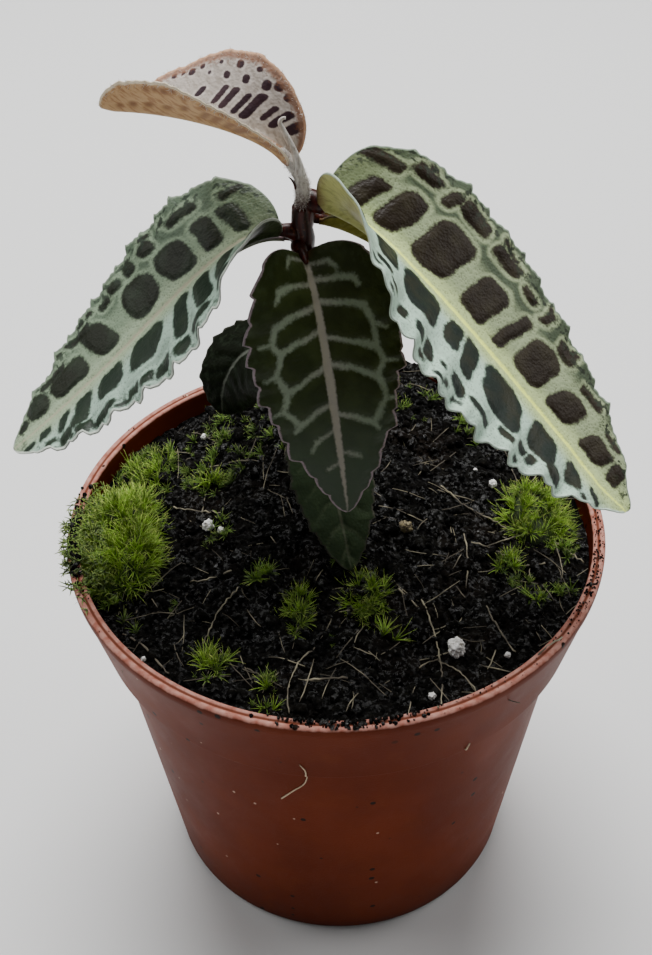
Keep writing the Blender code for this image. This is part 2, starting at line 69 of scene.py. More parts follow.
MM = 0.001
POT_HEIGHT = 75.4
COLLAR_HEIGHT = 15.8
SHOULDER = POT_HEIGHT - COLLAR_HEIGHT
RIM_RADIUS = 45.0
COLLAR_FOOT_RADIUS = 41.7
SHOULDER_RADIUS = 39.7
BASE_RADIUS = 32.6
BASE_ROUNDING = 1.6
POT_WALL = 1.2
POT_FLOOR = 1.5
POT_SIDES = 224
LIP_GROOVE_RADIUS = 43.85
DRAIN_HOLES = 8
DRAIN_RADIUS = 3.5
DRAIN_CIRCLE = 24.0
DRAIN_SIDES = 32
CUTTER_SPARE = 2.0  # mm that a hole's cutter stands out of the pot's floor on each side
SHARP_EDGE = 42.0  # degrees between faces, above which an edge of the pot stays crisp
DIRT_SPECKS = (  # spacing in mm, radius as a share of it, share of places left clean, colour
    (2.9, 0.20, 0.82, "#1d120c"),
    (3.4, 0.09, 0.74, "#b99a86"),
)


def linear(hex_colour):
    """A colour written as sRGB hex, as linear red, green, blue and alpha."""
    parts = [int(hex_colour[i : i + 2], 16) / 255 for i in (1, 3, 5)]
    return (*(p / 12.92 if p <= 0.04045 else ((p + 0.055) / 1.055) ** 2.4 for p in parts), 1.0)


NODE_KINDS = {  # plain word: the node's type, its settings and its usual inputs
    "mix": ("ShaderNodeMix", {"data_type": "RGBA"}, {}),
    "step": ("ShaderNodeMapRange", {"interpolation_type": "SMOOTHSTEP"}, {}),
    "noise": ("ShaderNodeTexNoise", {}, {"Detail": 3.0, "Roughness": 0.55}),
    "cells": ("ShaderNodeTexVoronoi", {}, {}),
    "split": ("ShaderNodeSeparateXYZ", {}, {}),
    "drawn out": ("ShaderNodeMapping", {}, {}),
}
for word in ("add", "subtract", "multiply", "multiply_add", "absolute"):
    NODE_KINDS[word] = ("ShaderNodeMath", {"operation": word.upper()}, {})


def give(socket, value):
    """Gives an input a socket to link from, a colour in hex or a plain value."""
    if isinstance(value, bpy.types.NodeSocket):
        socket.id_data.links.new(value, socket)
    elif isinstance(value, str) and value.startswith("#"):
        socket.default_value = linear(value)
    else:
        socket.default_value = value


def add(tree, kind, *values, inputs=None, **settings):
    """Adds a node and returns its first live output, whose node has the others. Values go to its
    live inputs in order, and inputs gives others by name."""
    node_type, usual_settings, usual_inputs = NODE_KINDS.get(kind, (kind, {}, {}))
    node = tree.nodes.new(node_type)
    for key, value in {**usual_settings, **settings}.items():
        setattr(node, key, value)
    for key, value in {**usual_inputs, **(inputs or {})}.items():
        give(node.inputs[key], value)
    live = [socket for socket in node.inputs if socket.enabled]
    for socket, value in zip(live, values):
        give(socket, value)
    return next((socket for socket in node.outputs if socket.enabled), None)


def blend(tree, first, second, value, low, high, share=1.0):
    """The first colour where a value is at low and, by a share, the second where it is at high,
    with a smooth step between. Low may be above high."""
    mask = add(tree, "step", value, low, high)
    if share != 1.0:
        mask = add(tree, "multiply", mask, share)
    return add(tree, "mix", mask, first, second)


def new_material(name):
    material = bpy.data.materials.new(name)
    material.use_nodes = True
    tree = material.node_tree
    return material, tree, tree.nodes["Principled BSDF"]


def own_place(tree):
    """The point's own coordinates in millimetres, so that a scale is one over a size in mm."""
    place = add(tree, "ShaderNodeTexCoord").node.outputs["Object"]
    return add(tree, "ShaderNodeVectorMath", place, 1 / MM, operation="SCALE")


def finish_shader(tree, shader, colour, roughness, height, depth, shine=0.5):
    """Fills the shader's sockets, with a bump whose relief is depth mm high. Shine is how much
    of the light the clear surface mirrors."""
    bump = add(tree, "ShaderNodeBump", inputs={"Height": height, "Distance": depth * MM})
    give(shader.inputs["Base Color"], colour)
    give(shader.inputs["Roughness"], roughness)
    give(shader.inputs["Specular IOR Level"], shine)
    give(shader.inputs["Normal"], bump)


def in_scene(name, data):
    """A new object of a mesh, a lamp or a camera, in the scene."""
    made = bpy.data.objects.new(name, data)
    bpy.context.scene.collection.objects.link(made)
    return made


def piece(name, points, faces, materials, attributes=None, outward=True):
    """An object with its points in mm, smooth, with its faces turned outward."""
    mesh = bpy.data.meshes.new(name)
    mesh.from_pydata((np.asarray(points, float) * MM).tolist(), [], faces)
    for key, values in (attributes or {}).items():
        values = np.asarray(values, np.float32)
        kind = "FLOAT_VECTOR" if values.ndim == 2 else "FLOAT"
        field = "vector" if values.ndim == 2 else "value"
        layer = mesh.attributes.new(key, kind, "POINT")
        layer.data.foreach_set(field, values.ravel())
    if outward:
        bm = bmesh.new()
        bm.from_mesh(mesh)
        bmesh.ops.recalc_face_normals(bm, faces=bm.faces)
        bm.to_mesh(mesh)
        bm.free()
    mesh.shade_smooth()
    for material in materials:
        mesh.materials.append(material)
    return in_scene(name, mesh)


def place_on_plant(made, slot, *nodes):
    """Puts a piece on the root body and hides the CAD nodes that it stands for. The slot is not used."""
    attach(made, "root")
    if nodes:
        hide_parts(*nodes)


def turned(profile, sides):
    """Points and faces of a profile of (radius, height) turned about Z, closed at both ends."""
    angles = 2 * math.pi * np.arange(sides) / sides
    rings = [
        np.stack([r * np.cos(angles), r * np.sin(angles), np.full(sides, z)], 1) for r, z in profile
    ]
    ends = np.array([[0.0, 0.0, profile[0][1]], [0.0, 0.0, profile[-1][1]]])
    points = np.vstack([*rings, ends])
    k = np.arange(sides)
    after = (k + 1) % sides
    faces = []
    for i in range(len(profile) - 1):
        a = i * sides
        quads = np.stack([a + k, a + after, a + sides + after, a + sides + k], 1)
        faces += quads.tolist()
    last = (len(profile) - 1) * sides
    count = len(points)
    faces += np.stack([k, after, np.full(sides, count - 2)], 1).tolist()
    faces += np.stack([last + k, last + after, np.full(sides, count - 1)], 1).tolist()
    return points, faces


def arc(radius, height, size, start, stop, steps):
    """Points of (radius, height) on a quarter or half round, between two angles in degrees."""
    angles = [math.radians(start + (stop - start) * i / steps) for i in range(steps + 1)]
    return [(radius + size * math.cos(a), height + size * math.sin(a)) for a in angles]


def collar_radius(height):
    share = (height - SHOULDER) / COLLAR_HEIGHT
    return COLLAR_FOOT_RADIUS + (RIM_RADIUS - COLLAR_FOOT_RADIUS) * share


def body_radius(height):
    share = (height - BASE_ROUNDING) / (SHOULDER - BASE_ROUNDING)
    return BASE_RADIUS + (SHOULDER_RADIUS - BASE_RADIUS) * share


def inner_wall(height):
    """The pot's inner radius at a height above the floor that it stands on."""
    outside = collar_radius(height) if height >= SHOULDER else body_radius(height)
    return outside - POT_WALL


def pot_profile():
    top = POT_HEIGHT
    outside = [
        *arc(BASE_RADIUS - BASE_ROUNDING, BASE_ROUNDING, BASE_ROUNDING, -90, 0, 8),
        (SHOULDER_RADIUS - 0.05, SHOULDER - 0.9),
        (SHOULDER_RADIUS + 0.1, SHOULDER - 0.35),
        (SHOULDER_RADIUS + 0.5, SHOULDER - 0.12),
        *arc(COLLAR_FOOT_RADIUS - 0.4, SHOULDER + 0.3, 0.4, -90, 0, 5),
        (RIM_RADIUS - 0.35, top - 2.4),
        (RIM_RADIUS - 0.1, top - 1.9),
        (RIM_RADIUS, top - 1.2),
    ]
    bead = [
        *arc(RIM_RADIUS - 0.55, top - 0.55, 0.55, 0, 90, 6),
        (RIM_RADIUS - 0.95, top - 0.14),
        (RIM_RADIUS - 1.15, top - 0.22),
        (RIM_RADIUS - 1.35, top - 0.12),
        *arc(RIM_RADIUS - 1.7, top - 0.4, 0.36, 80, 180, 5),
    ]
    inside = [
        (RIM_RADIUS - 2.06, top - 1.5),
        (inner_wall(top - 2.4), top - 2.4),
        (inner_wall(SHOULDER + 0.6), SHOULDER + 0.6),
        (inner_wall(SHOULDER - 1.4), SHOULDER - 1.4),
        (inner_wall(POT_FLOOR + 1.0), POT_FLOOR + 1.0),
        (inner_wall(POT_FLOOR + 1.0) - 1.0, POT_FLOOR),
    ]
    return outside + bead + inside


def terracotta_plastic():
    """Satin brown terracotta polypropylene, specked with dirt; the lip is scuffed, with a painted
    highlight.
    """
    material, tree, shader = new_material("satin terracotta plastic, specked")
    place = own_place(tree)
    height = add(tree, "split", place).node.outputs["Z"]
    cloud = add(tree, "noise", place, 1 / 24.0)
    colour = blend(tree, "#5b2007", "#6a290d", cloud, 0.35, 0.68)
    smear = add(tree, "noise", place, 1 / 7.0, 5.0, 0.65)
    colour = blend(tree, colour, "#7a3d1e", smear, 0.50, 0.80, 0.30)
    wear = add(tree, "noise", place, 1 / 1.6, 4.0)
    lip = add(tree, "multiply_add", wear, 0.5, height)
    lip = add(tree, "step", lip, POT_HEIGHT - 0.25, POT_HEIGHT + 0.1)
    # The top of the lip is scuffed paler, and partly this is a painted highlight on its bead.
    lip_wear_and_painted_light = blend(tree, "#94584a", "#b8887b", wear, 0.25, 0.7)
    # Painted shade: the lip turns darker in the groove between its two beads.
    level = add(tree, "ShaderNodeVectorMath", place, (1.0, 1.0, 0.0), operation="MULTIPLY")
    radius = add(tree, "ShaderNodeVectorMath", level, operation="LENGTH")
    from_groove = add(tree, "absolute", add(tree, "subtract", radius, LIP_GROOVE_RADIUS))
    lip_wear_and_painted_light = blend(tree, lip_wear_and_painted_light, "#6b3a2a", from_groove, 0.35, 0.1)
    colour = add(tree, "mix", lip, colour, lip_wear_and_painted_light)
    colour = blend(tree, colour, "#3c2218", add(tree, "add", height, wear), 4.0, 1.4, 0.5)
    for spacing, size, clean, speck in DIRT_SPECKS:
        near = add(tree, "cells", place, 1 / spacing)
        spot = add(tree, "step", near, size, size * 0.7)
        pick = add(tree, "split", near.node.outputs["Color"])
        colour = blend(tree, colour, speck, pick, clean, clean + 0.02, spot)
    roughness = add(tree, "multiply_add", smear, 0.22, 0.36)
    roughness = add(tree, "multiply_add", lip, 0.12, roughness)
    relief = add(tree, "multiply_add", smear, 0.5, add(tree, "noise", place, 1 / 0.35, 2.0))
    finish_shader(tree, shader, colour, roughness, relief, 0.03, 0.05)
    return material


def around(radius, angle, height=0.0):
    """A point at an angle round the pot's axis."""
    return np.array([radius * math.cos(angle), radius * math.sin(angle), height])


pot_plastic = terracotta_plastic()
pot = piece("pot_shell", *turned(pot_profile(), POT_SIDES), [pot_plastic])
cutters = bpy.data.collections.new("drain_cutters")
bpy.context.scene.collection.children.link(cutters)
for k in range(DRAIN_HOLES):
    angle = 2 * math.pi * (k + 0.5) / DRAIN_HOLES
    ends = [(DRAIN_RADIUS, -CUTTER_SPARE), (DRAIN_RADIUS, POT_FLOOR + CUTTER_SPARE)]
    points, faces = turned(ends, DRAIN_SIDES)
    cutter = piece(f"drain_cutter_{k}", points + around(DRAIN_CIRCLE, angle), faces, [pot_plastic])
    bpy.context.scene.collection.objects.unlink(cutter)
    cutters.objects.link(cutter)
cut = pot.modifiers.new("drain", "BOOLEAN")
cut.operation = "DIFFERENCE"
cut.operand_type = "COLLECTION"
cut.collection = cutters
cut.solver = "EXACT"
bpy.context.view_layer.update()
graph = bpy.context.evaluated_depsgraph_get()
holed = bpy.data.meshes.new_from_object(pot.evaluated_get(graph))
pot.modifiers.clear()
pot.data = holed
holed.set_sharp_from_angle(angle=math.radians(SHARP_EDGE))
for cutter in list(cutters.objects):
    bpy.data.objects.remove(cutter)
bpy.data.collections.remove(cutters)
place_on_plant(pot, "pot_plastic", "pot")


# The peat
# Moist, nearly black peat that fills the pot and is heaped towards the plant. Its surface is one
# fine mesh; loose crumbs, clods and rootlets are scattered on it by Geometry Nodes.

SOIL_EDGE_LEVEL = -4.6
SOIL_MOUNDS = (  # x, y, height, spread
    (2.0, 14.0, 8.6, 17.0),
    (17.0, 30.0, 5.5, 9.0),
    (-14.0, 30.0, 3.2, 8.0),
)
SOIL_LUMP = 1.1
SOIL_LUMP_SIZE = 5.5
SOIL_SHOULDER = 6.0
SOIL_SIDES = 300
SOIL_RINGS = 96
SOIL_CRUMBS = (  # size and height in mm, and where in the noise each is read
    (3.1, 0.75, 0.0),
    (1.5, 0.50, 17.0),
    (0.75, 0.32, 41.0),
)


def soil_level(x, y):
    """The height of the peat above the floor, in mm, without its crumbs."""
    level = SOIL_EDGE_LEVEL
    for mx, my, height, spread in SOIL_MOUNDS:
        level += height * math.exp(-((x - mx) ** 2 + (y - my) ** 2) / (2 * spread**2))
    lump = noise.noise(Vector((x, y, 3.7)) / SOIL_LUMP_SIZE)
    lump += 0.5 * noise.noise(Vector((x, y, 9.1)) / (0.5 * SOIL_LUMP_SIZE))
    level += SOIL_LUMP * lump
    reach = inner_wall(POT_HEIGHT + SOIL_EDGE_LEVEL) - math.hypot(x, y)
    share = min(max(reach / SOIL_SHOULDER, 0.0), 1.0)
    share = share * share * (3 - 2 * share)
    return POT_HEIGHT + SOIL_EDGE_LEVEL + (level - SOIL_EDGE_LEVEL) * share


def crumbly_level(x, y):
    """The peat's height with its crumbs: rounded clods of three sizes."""
    level = soil_level(x, y)
    for size, height, shift in SOIL_CRUMBS:
        value = noise.noise(Vector((x / size, y / size, shift)))
        level += height * (0.5 - abs(value) * 1.6)
    return level


def moist_peat():
    """Moist black-brown peat: clods with browner fibres, and glints where it is wettest."""
    material, tree, shader = new_material("moist crumbly peat")
    place = own_place(tree)
    clods = add(tree, "noise", place, 1 / 2.2, 5.0, 0.62)
    colour = blend(tree, "#040303", "#171613", clods, 0.35, 0.72)
    patch = add(tree, "noise", place, 1 / 11.0, 2.0)
    colour = blend(tree, colour, "#1f1812", patch, 0.5, 0.75, 0.5)
    fibre = add(tree, "drawn out", place, inputs={"Scale": (0.35, 2.4, 1.0)})
    twisted = add(tree, "ShaderNodeTexNoise", fibre, 1.2, 4.0, inputs={"Distortion": 2.5})
    colour = blend(tree, colour, "#4a3d2e", twisted, 0.66, 0.76, 0.4)
    fine = add(tree, "noise", place, 1 / 0.45, 4.0, 0.7)
    wet = add(tree, "step", add(tree, "noise", place, 1 / 0.8), 0.50, 0.62)
    clump = add(tree, "step", add(tree, "noise", place, 1 / 3.6), 0.42, 0.60)
    wet = add(tree, "multiply", wet, add(tree, "multiply_add", clump, 0.85, 0.2))
    roughness = add(tree, "multiply_add", wet, -0.62, 0.9)
    shine = add(tree, "add", wet, 0.06)
    relief = add(tree, "multiply_add", clods, 1.5, fine)
    finish_shader(tree, shader, colour, roughness, relief, 0.7, shine)
    return material


peat = moist_peat()
soil_edge = inner_wall(POT_HEIGHT + SOIL_EDGE_LEVEL) - 0.15
walls = [
    (inner_wall(POT_FLOOR + 1.3) - 1.6, POT_FLOOR + 0.3),
    (inner_wall(POT_FLOOR + 1.3) - 0.3, POT_FLOOR + 1.6),
    (inner_wall(SHOULDER - 1.7) - 0.3, SHOULDER - 1.7),
    (inner_wall(SHOULDER + 0.6) - 0.4, SHOULDER + 0.6),
]
radii = [soil_edge * (1 - k / SOIL_RINGS) for k in range(SOIL_RINGS)]
soil_points, soil_faces = turned([*walls, *((r, 0.0) for r in radii)], SOIL_SIDES)
first_top = len(walls) * SOIL_SIDES
for index in [*range(first_top, len(soil_points) - 2), len(soil_points) - 1]:
    x, y, _ = soil_points[index]
    soil_points[index][2] = crumbly_level(x, y)
cover = np.zeros(len(soil_points))
cover[first_top + 2 * SOIL_SIDES : -2] = 1.0
soil = piece("peat_body", soil_points, soil_faces, [peat], {"cover": cover})
place_on_plant(soil, "peat", "soil")


FULL_TURN = 6.2832  # radians


def scatter_tree():
    """Geometry Nodes that place shapes on a ground, turned and sized at random."""
    tree = bpy.data.node_groups.new("scatter_on_ground", "GeometryNodeTree")
    sockets = (
        ("Ground", "NodeSocketGeometry"),
        ("Shapes", "NodeSocketCollection"),
        ("Per Square Metre", "NodeSocketFloat"),
        ("Seed", "NodeSocketInt"),
        ("Smallest", "NodeSocketFloat"),
        ("Largest", "NodeSocketFloat"),
        ("Tilt", "NodeSocketFloat"),
        ("Material", "NodeSocketMaterial"),
    )
    for name, kind in sockets:
        tree.interface.new_socket(name=name, in_out="INPUT", socket_type=kind)
    tree.interface.new_socket(name="Result", in_out="OUTPUT", socket_type="NodeSocketGeometry")
    given = add(tree, "NodeGroupInput").node.outputs
    cover = add(tree, "GeometryNodeInputNamedAttribute", "cover", data_type="FLOAT")
    density = add(tree, "multiply", cover, given["Per Square Metre"])
    seed = {"Seed": given["Seed"]}
    inputs = {"Mesh": given["Ground"], "Density": density, **seed}
    spots = add(tree, "GeometryNodeDistributePointsOnFaces", inputs=inputs)
    shapes = add(tree, "GeometryNodeCollectionInfo", given["Shapes"], True, True)
    chance = "FunctionNodeRandomValue"
    size = add(tree, chance, given["Smallest"], given["Largest"], inputs=seed, data_type="FLOAT")
    down = add(tree, "multiply", given["Tilt"], -1.0)
    low = add(tree, "ShaderNodeCombineXYZ", down, down, 0.0)
    high = add(tree, "ShaderNodeCombineXYZ", given["Tilt"], given["Tilt"], FULL_TURN)
    turn = add(tree, chance, low, high, inputs=seed, data_type="FLOAT_VECTOR")
    turn = add(tree, "FunctionNodeEulerToRotation", turn)
    slope = spots.node.outputs["Rotation"]
    turn = add(tree, "FunctionNodeRotateRotation", slope, turn, rotation_space="LOCAL")
    inputs = {"Instance": shapes, "Pick Instance": True, "Rotation": turn, "Scale": size}
    copies = add(tree, "GeometryNodeInstanceOnPoints", spots, inputs=inputs)
    real = add(tree, "GeometryNodeRealizeInstances", copies)
    painted = add(tree, "GeometryNodeSetMaterial", real, inputs={"Material": given["Material"]})
    add(tree, "NodeGroupOutput", painted)
    return tree


SCATTER = scatter_tree()


def scattered(name, ground, shapes, material, per_mm2, seed, size, tilt):
    """Copies of the shapes on the ground's covered faces, as one plain mesh."""
    kinds = bpy.data.collections.new(name + "_shapes")
    bpy.context.scene.collection.children.link(kinds)
    for shape in shapes:
        bpy.context.scene.collection.objects.unlink(shape)
        kinds.objects.link(shape)
    holder = in_scene(name + "_holder", ground.data)
    modifier = holder.modifiers.new("scatter", "NODES")
    modifier.node_group = SCATTER
    values = {
        "Shapes": kinds,
        "Per Square Metre": per_mm2 / MM**2,
        "Seed": seed,
        "Smallest": size[0],
        "Largest": size[1],
        "Tilt": math.radians(tilt),
        "Material": material,
    }
    for socket in SCATTER.interface.items_tree:
        if socket.name in values:
            modifier[socket.identifier] = values[socket.name]
    bpy.context.view_layer.update()
    graph = bpy.context.evaluated_depsgraph_get()
    mesh = bpy.data.meshes.new_from_object(holder.evaluated_get(graph))
    bpy.data.objects.remove(holder)
    for shape in list(kinds.objects):
        bpy.data.objects.remove(shape)
    bpy.data.collections.remove(kinds)
    mesh.name = name
    if not mesh.materials:
        mesh.materials.append(material)
    return in_scene(name, mesh)


def ball(radius, detail):
    """Corners and faces of a ball of triangles."""
    bm = bmesh.new()
    bmesh.ops.create_icosphere(bm, subdivisions=detail, radius=radius)
    corners = [v.co.copy() for v in bm.verts]
    faces = [[v.index for v in f.verts] for f in bm.faces]
    bm.free()
    return corners, faces


def knob(name, radius, detail, seed, squash=0.75):
    """A rough lump: a ball pushed in and out."""
    corners, faces = ball(radius, detail)
    for corner in corners:
        corner *= 1 + 0.55 * noise.noise(corner / radius * 1.1 + Vector((seed * 7.3, 0, 0)))
        corner.z *= squash
    return piece(name, corners, faces, [])


def tube(path, radii, sides=5, twist=None):
    """Points and faces of a round strand along a path, closed at both ends."""
    path = np.asarray(path, float)
    radii = np.broadcast_to(radii, (len(path),))
    along = np.gradient(path, axis=0)
    along /= np.linalg.norm(along, axis=1, keepdims=True)
    across = np.array([0.0, 0.0, 1.0]) if twist is None else np.asarray(twist, float)
    if abs(along[0] @ across) > 0.9:
        across = np.array([1.0, 0.0, 0.0])
    angles = 2 * math.pi * np.arange(sides) / sides
    points = []
    for middle, ahead, radius in zip(path, along, radii):
        across = across - ahead * (across @ ahead)
        across /= np.linalg.norm(across)
        up = np.cross(ahead, across)
        ring = np.outer(np.cos(angles), across) + np.outer(np.sin(angles), up)
        points.append(middle + ring * radius)
    points = np.vstack(points)
    faces = []
    for i in range(len(path) - 1):
        for k in range(sides):
            a, b = i * sides + k, i * sides + (k + 1) % sides
            faces.append((a, b, b + sides, a + sides))
    faces.append(tuple(reversed(range(sides))))
    faces.append(tuple(range(len(points) - sides, len(points))))
    return points, faces


def joined(parts):
    """Several point and face lists as one."""
    points, faces, count = [], [], 0
    for some_points, some_faces in parts:
        points.append(np.asarray(some_points, float))
        faces += [tuple(i + count for i in face) for face in some_faces]
        count += len(some_points)
    return np.vstack(points), faces


granules = [knob(f"granule_{k}", 0.5, 1, k, 0.6) for k in range(6)]
crumbs = scattered("peat_crumbs", soil, granules, peat, 1.1, 5, (0.3, 1.15), 180)
place_on_plant(crumbs, "peat")
lumps = [knob(f"lump_{k}", 0.5, 2, 9 + k) for k in range(5)]
clods = scattered("peat_clods", soil, lumps, peat, 0.06, 6, (1.2, 2.8), 180)
place_on_plant(clods, "peat")


def dry_rootlet():
    """Old fine roots and straws, tan to grey, dull."""
    material, tree, shader = new_material("dry tan rootlets")
    place = own_place(tree)
    tone = add(tree, "noise", place, 1 / 5.0, 2.0)
    colour = blend(tree, "#463f35", "#9c947c", tone, 0.4, 0.62)
    streak = add(tree, "noise", place, 1 / 0.4)
    colour = add(tree, "mix", add(tree, "multiply", streak, 0.4), colour, "#6f6655")
    finish_shader(tree, shader, colour, 0.75, streak, 0.05)
    return material


def loose_strand(seed, length, radius, bend):
    """A thin strand that lies along X and wanders."""
    draw = random.Random(seed)
    heading, point, path = 0.0, np.array([-length / 2, 0.0, 0.15]), []
    steps = 9
    drift = draw.uniform(-bend, bend)
    for k in range(steps + 1):
        path.append(point.copy())
        heading += drift / steps + draw.uniform(-0.25, 0.25) * bend
        rise = 0.22 * math.sin(math.pi * k / steps * 1.5) * bend
        point = point + np.array([math.cos(heading), math.sin(heading), rise]) * length / steps
    swell = np.sin(math.pi * (0.12 + 0.8 * np.arange(steps + 1) / steps))
    return tube(path, radius * (0.55 + 0.6 * swell))


rootlet = dry_rootlet()
strands = [
    piece(f"strand_{k}", *loose_strand(20 + k, 3.6 + 0.7 * k, 0.05 + 0.012 * (k % 3), 0.55), [])
    for k in range(7)
]
rootlets = scattered("peat_rootlets", soil, strands, rootlet, 0.038, 9, (0.6, 1.4), 14)
place_on_plant(rootlets, "peat")

# Roots and straws that show singly in the photo: where one starts on the peat, its heading in
# degrees there, its length in mm, how far it bends in degrees, and its thickness.
SINGLE_STRANDS = (
    (13.5, -17.0, -70, 24.5, -35, 0.24),
    (15.5, -28.5, -36, 9.0, -30, 0.20),
    (15.5, -28.5, -175, 3.5, 45, 0.20),
    (24.0, -18.0, -78, 10.0, 18, 0.22),
    (21.5, -3.0, -84, 11.0, -18, 0.24),
    (22.5, -5.0, -16, 9.5, -5, 0.26),
    (31.0, -9.0, 14, 3.5, -28, 0.34),
    (37.0, -3.5, -45, 6.0, -5, 0.28),
    (-28.0, 5.5, -24, 9.0, 5, 0.24),
    (-24.0, -12.0, 20, 7.0, -14, 0.28),
    (-5.0, -33.0, 12, 6.5, -12, 0.34),
    (-3.5, -26.0, -135, 13.5, 55, 0.24),
    (-14.0, -30.0, -30, 7.0, -8, 0.22),
    (27.0, -33.0, 30, 8.5, 5, 0.24),
    (10.0, -15.0, -38, 4.5, -25, 0.26),
    (18.0, 6.0, -39, 14.0, 14, 0.24),
    (-34.0, -22.0, -38, 12.0, -20, 0.30),
    (-16.0, -14.0, -127, 12.0, 24, 0.22),
)


def bent_line(x, y, heading, length, bend, steps):
    """Points of a line over the peat that turns evenly by a bend."""
    path = [(x, y)]
    for k in range(steps):
        turn = math.radians(heading + bend * (k + 0.5) / steps)
        x += math.cos(turn) * length / steps
        y += math.sin(turn) * length / steps
        path.append((x, y))
    return np.array(path)


def through(points, steps):
    """A smooth path through points, by Catmull-Rom."""
    points = [np.asarray(p, float) for p in points]
    ends = [2 * points[0] - points[1], *points, 2 * points[-1] - points[-2]]
    path = []
    for i in range(len(points) - 1):
        a, b, c, d = ends[i : i + 4]
        for k in range(steps):
            t = k / steps
            curve = 2 * b + (c - a) * t + (2 * a - 5 * b + 4 * c - d) * t**2
            path.append(0.5 * (curve + (3 * b - a - 3 * c + d) * t**3))
    return np.array([*path, points[-1]])


def lying_strand(strand, seed):
    """A strand on the peat, touching its clods and standing a little clear between them."""
    draw = random.Random(seed)
    *line, length, bend, thickness = strand
    path = bent_line(*line, length, bend, max(4, round(length / 0.7)))
    rise = np.array([0.35 + 0.5 * abs(math.sin(1.7 * k + seed)) for k in range(len(path))])
    wander = np.array([(draw.uniform(-0.1, 0.1), draw.uniform(-0.1, 0.1)) for _ in path])
    path = path + wander
    level = np.array([crumbly_level(x, y) for x, y in path])
    level = np.convolve(np.pad(level, 2, mode="edge"), np.ones(5) / 5, mode="valid")
    for k, (x, y) in enumerate(path):
        out = math.hypot(x, y)
        if out > soil_edge - 1.5:
            level[k] = max(level[k], POT_HEIGHT + 0.25 - 3.0 * max(0.0, soil_edge + 1.0 - out))
    points = np.column_stack([path, level + rise * 0.8])
    radii = 0.5 * thickness * (1 + 0.25 * np.sin(np.arange(len(path)) * 1.3 + seed))
    return tube(points, radii, 6)


parts = [lying_strand(strand, k) for k, strand in enumerate(SINGLE_STRANDS)]
single = piece("single_roots", *joined(parts), [rootlet])
place_on_plant(single, "peat")


# The perlite and the stones
# One white knobbly grain of perlite shows well, with a few smaller ones and a tan husk, all pressed
# a little into the peat. Perlite is expanded glass, chalk white and full of small pits.


def expanded_perlite():
    """Chalk-white expanded perlite, pitted and a little stained."""
    material, tree, shader = new_material("pitted white perlite")
    place = own_place(tree)
    stain = add(tree, "noise", place, 1 / 1.1)
    colour = blend(tree, "#f0eeea", "#a39a8c", stain, 0.48, 0.75)
    pits = add(tree, "cells", place, 1 / 0.45)
    finish_shader(tree, shader, colour, 0.9, pits, 0.25)
    return material


def rough_grain(name, x, y, radius, seed, material):
    """A knobbly grain sunk a little into the peat."""
    corners, faces = ball(radius, 4)
    for corner in corners:
        ahead = corner.normalized()
        push = 0.34 * noise.noise(ahead * 1.6 + Vector((seed, 0, 0)))
        push += 0.30 * noise.noise(ahead * 4.2 + Vector((0, seed, 0)))
        push += 0.14 * noise.noise(ahead * 9.0 + Vector((0, 0, seed)))
        corner *= 1 + push
    lowest = min(corner.z for corner in corners)
    lift = np.array([x, y, crumbly_level(x, y) - lowest - 0.35 * radius])
    return piece(name, np.array(corners) + lift, faces, [material])


white_grain = expanded_perlite()
main_grain = rough_grain("perlite_white", 18.4, -27.2, 1.35, 3.0, white_grain)
place_on_plant(main_grain, "perlite", "perlite_grain")
SMALL_GRAINS = (  # x, y, radius
    (26.4, -27.6, 0.45),
    (27.3, 8.2, 0.7),
    (24.6, 11.6, 0.35),
    (-21.6, -0.6, 0.9),
    (-19.4, -1.2, 0.6),
    (14.2, -35.4, 0.55),
    (-23.6, 22.0, 0.6),
    (-30.2, -27.5, 0.4),
)
for k, (x, y, radius) in enumerate(SMALL_GRAINS):
    small_grain = rough_grain(f"small_grain_{k}", x, y, radius, 5.0 + k, white_grain)
    place_on_plant(small_grain, "perlite")


def tan_stone():
    """A smooth tan seed husk or stone."""
    material, tree, shader = new_material("tan husk")
    place = own_place(tree)
    spots = add(tree, "noise", place, 1 / 0.5)
    colour = blend(tree, "#4d4231", "#8f8260", spots, 0.42, 0.6)
    finish_shader(tree, shader, colour, 0.6, spots, 0.08)
    return material


husk = rough_grain("tan_husk", 11.6, -3.7, 1.0, 21.0, tan_stone())
place_on_plant(husk, "perlite")


# The moss
# Living moss rooted in the peat: cushions of bright shoots whose fine leaves curve outward, yellow
# green at their tips, and a shorter, darker moss between them and over the rim on the left.

MOSS_CUSHIONS = (  # node, middle, radii, height, shoots per mm2, largest scale of a shoot
    ("moss_left", (-36.4, -2.0), (6.0, 11.6), 4.2, 1.15, 1.3),
    ("moss_right", (34.3, 2.4), (4.6, 6.2), 3.4, 1.1, 1.05),
    ("moss_front", (-6.0, -19.0), (1.7, 4.6), 1.2, 1.25, 0.92),
    ("moss_middle", (5.4, -16.5), (2.9, 3.1), 1.2, 1.05, 1.02),
)


def moss_leaf(name, dark, bright, tip):
    """Living moss: dark and moist at the foot of a shoot, darkened further there by painted shade,
    bright and thin at its tips.
    """
    material, tree, shader = new_material(name)
    place = own_place(tree)
    reach = add(tree, "ShaderNodeAttribute", attribute_name="reach").node.outputs["Fac"]
    tuft = add(tree, "noise", place, 1 / 3.2, 2.0)
    single = add(tree, "noise", place, 1 / 0.8, 2.0)
    shaded = add(tree, "mix", 0.6, bright, dark)
    middle = blend(tree, bright, shaded, tuft, 0.4, 0.64)
    # The lower half of each leaf fades to the dark colour: partly its moist older base, partly painted
    # shade down among the shoots.
    colour = blend(tree, dark, middle, reach, 0.0, 0.55)
    pale = add(tree, "step", single, 0.42, 0.58)
    pale = add(tree, "multiply", add(tree, "step", reach, 0.5, 1.0), pale)
    colour = add(tree, "mix", add(tree, "multiply", pale, 0.85), colour, tip)
    finish_shader(tree, shader, colour, 0.55, single, 0.03)
    return material


